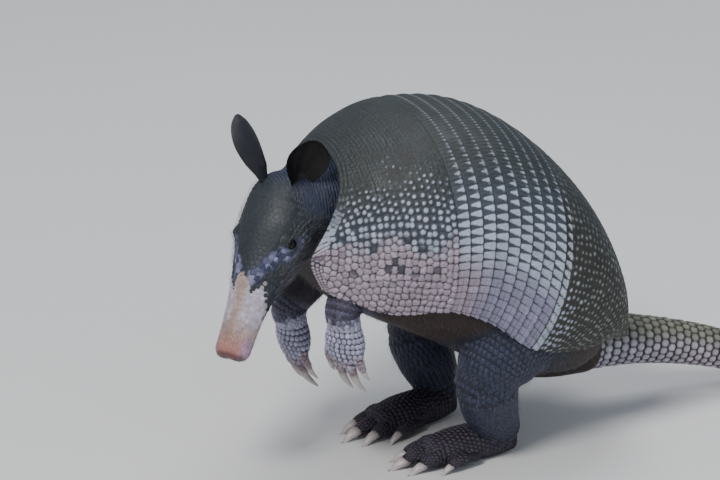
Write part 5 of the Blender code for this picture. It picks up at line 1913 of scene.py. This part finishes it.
class ArmadilloLooks(bpy.types.PropertyGroup):
    back_dark: tint("Back", "#2c3234", "Horn on the top of the back")
    front_dark: tint("Front ground", "#3b414d", "Horn between the pale scutes of the front shield")
    side_pale: tint("Side scutes", "#a4abbb", "Pale scutes on the side")
    low_pink: tint("Lower scutes", "#9a8c99", "Scutes near the front shield's lower edge")
    low_lavender: tint("Lower bands", "#85839a", "Scutes near the bands' lower edges")
    band_dark: tint("Band ground", "#3b424d", "Horn between the wedges of the bands")
    rear_dark: tint("Rear ground", "#2d2e2a", "Horn of the rear shield")
    rear_spot: tint("Rear spots", "#7b7f7d", "Spots on the rear shield")
    tail_pale: tint("Tail scales", "#a4a1b0", "Scales on the tail's sides")
    tail_top: tint("Tail's top", "#737467", "Scales on the tail's upper side")
    tail_pink: tint("Tail's middle", "#a8979e", "Scales further along the tail")
    tail_dark: tint("Tail grooves", "#292727", "Skin between the tail's scales")
    shield_dark: tint("Crown", "#2a3036", "Scales of the head's shield")
    # Painted reflection of the sky, blue and lilac, on the scales in front of the eyes
    crown_sky_reflection: tint("Crown's blue scales", "#363c5c", "Scales in front of the eyes")
    scale_sky_reflection: tint("Lilac scales", "#8688a6", "Palest scales in front of the eyes")
    head_hide: tint("Head", "#2d333a", "Hide of the head")
    cheek_hide: tint("Cheek", "#343545", "Hide of the cheeks")
    # Dark skin of the lids. The same colour paints the shade in the nostrils and the shadow in the mouth's
    # line.
    lids_and_painted_shade: tint("Lids", "#17181c", "Lids, nostrils and lips")
    snout_pale: tint("Snout", "#ab958c", "Bare cream hide of the snout")
    # Painted reflection of the sky on the snout's sides
    snout_sky_reflection: tint("Snout's middle", "#bcb2c4", "Palest hide on the snout's sides")
    snout_under: tint("Snout's underside", "#7d6a63", "Hide under the snout")
    nose_pink: tint("Nose", "#a4726b", "Pink tip of the nose")
    nose_lilac: tint("Lips", "#9585a4", "Lilac lips on the sides of the nose")
    nose_dark: tint("Nose's front", "#563a3b", "Dark front of the nose")
    neck_hide: tint("Neck", "#20273a", "Folded hide between the head and the shell")
    belly_hide: tint("Belly", "#2d201b", "Hide of the belly")
    leg_hide: tint("Hind legs", "#232636", "Hide of the thighs and shanks")
    foot_hide: tint("Hind feet", "#231e27", "Scaly hide of the hind feet")
    # The forearms' colours are dark hair together with painted shadow under the shell.
    arm_hide_and_shadow: tint("Forearms", "#292630", "Hide of the forearms")
    arm_scale_and_shadow: tint("Forearm scales", "#333242", "Low scales of the forearms")
    paw_hide: tint("Paws", "#a3a2b8", "Scaly hide of the forepaws")
    paw_gap: tint("Skin between the paws' scales", "#58536a", "Bare skin of the forepaws")
    leg_scale: tint("Leg scales", "#30354a", "Low scales in rows on thigh and shank")
    foot_scale: tint("Foot scales", "#38323e", "Scales of the hind feet")
    finger_hide: tint("Fingers", "#97868e", "Scaly hide of the fingers")
    ear_inside: tint("Ear's inside", "#0d090b", "Bare skin inside the ears")
    ear_outside: tint("Ear's outside", "#1e2028", "Bare skin on the back of the ears")
    claw_pale: tint("Claws", "#b9b0ae", "Claws' horn")
    claw_root: tint("Claws' roots", "#7a6a6c", "Horn near the claws' roots")
    hair_pale: tint("Pale hair", "#8e8c92", "Palest hairs")
    hair_dark: tint("Dark hair", "#4a474c", "Darkest hairs")
    hair_count: bpy.props.IntProperty(
        name="Hairs", description="How many hairs stand on the skin", default=9000, min=1
    )
    key_power: bpy.props.FloatProperty(
        name="Light", description="Power of the main light in watts", default=39.0, min=0, unit="POWER"
    )


class ARMADILLO_OT_shell(bpy.types.Operator):
    """Add the shields and bands of the shell, with their scutes"""

    bl_idname = "armadillo.shell"
    bl_label = "Shell"

    def execute(self, context):
        build_shell()
        return {"FINISHED"}


class ARMADILLO_OT_tail(bpy.types.Operator):
    """Add the tail's rings of scales"""

    bl_idname = "armadillo.tail"
    bl_label = "Tail"

    def execute(self, context):
        build_tail()
        return {"FINISHED"}


class ARMADILLO_OT_head(bpy.types.Operator):
    """Add the head's shield and the eyes"""

    bl_idname = "armadillo.head"
    bl_label = "Head Shield and Eyes"

    def execute(self, context):
        build_head_shield()
        build_eyes()
        return {"FINISHED"}


class ARMADILLO_OT_skin(bpy.types.Operator):
    """Add the skin, with its scales and its sparse hair"""

    bl_idname = "armadillo.skin"
    bl_label = "Skin, Scales and Hair"

    def execute(self, context):
        lofts = build_skin()
        skin = bpy.data.objects["skin"]
        surface = BVHTree.FromObject(skin, context.evaluated_depsgraph_get())
        build_scales(lofts, surface)
        build_hair(skin)
        return {"FINISHED"}


class ARMADILLO_OT_claws(bpy.types.Operator):
    """Add the eighteen claws"""

    bl_idname = "armadillo.claws"
    bl_label = "Claws"

    def execute(self, context):
        build_claws()
        return {"FINISHED"}


class ARMADILLO_OT_stage(bpy.types.Operator):
    """Add the floor, the lights and the camera"""

    bl_idname = "armadillo.stage"
    bl_label = "Stage"

    def execute(self, context):
        build_stage()
        return {"FINISHED"}


OPERATORS = (
    ARMADILLO_OT_shell,
    ARMADILLO_OT_tail,
    ARMADILLO_OT_head,
    ARMADILLO_OT_skin,
    ARMADILLO_OT_claws,
    ARMADILLO_OT_stage,
)


class ARMADILLO_PT_sidebar(bpy.types.Panel):
    """Lists the pieces of the armadillo"""

    bl_idname = "ARMADILLO_PT_sidebar"
    bl_label = "Armadillo"
    bl_space_type = "VIEW_3D"
    bl_region_type = "UI"
    bl_category = "Armadillo"

    def draw(self, context):
        for operator in OPERATORS:
            self.layout.operator(operator.bl_idname)


CLASSES = (ArmadilloLooks, *OPERATORS, ARMADILLO_PT_sidebar)


def register():
    for made in CLASSES:
        bpy.utils.register_class(made)
    bpy.types.Scene.armadillo_looks = bpy.props.PointerProperty(type=ArmadilloLooks)
    finishes.update(horn=horn_material(), hide=hide_material(), claw=claw_material())
    finishes.update(eye=eye_material(), hair=hair_material())


def unregister():
    del bpy.types.Scene.armadillo_looks
    for made in reversed(CLASSES):
        bpy.utils.unregister_class(made)


def main():
    register()
    for operator in OPERATORS:
        group, name = operator.bl_idname.split(".")
        getattr(getattr(bpy.ops, group), name)()


if __name__ == "__main__":
    main()
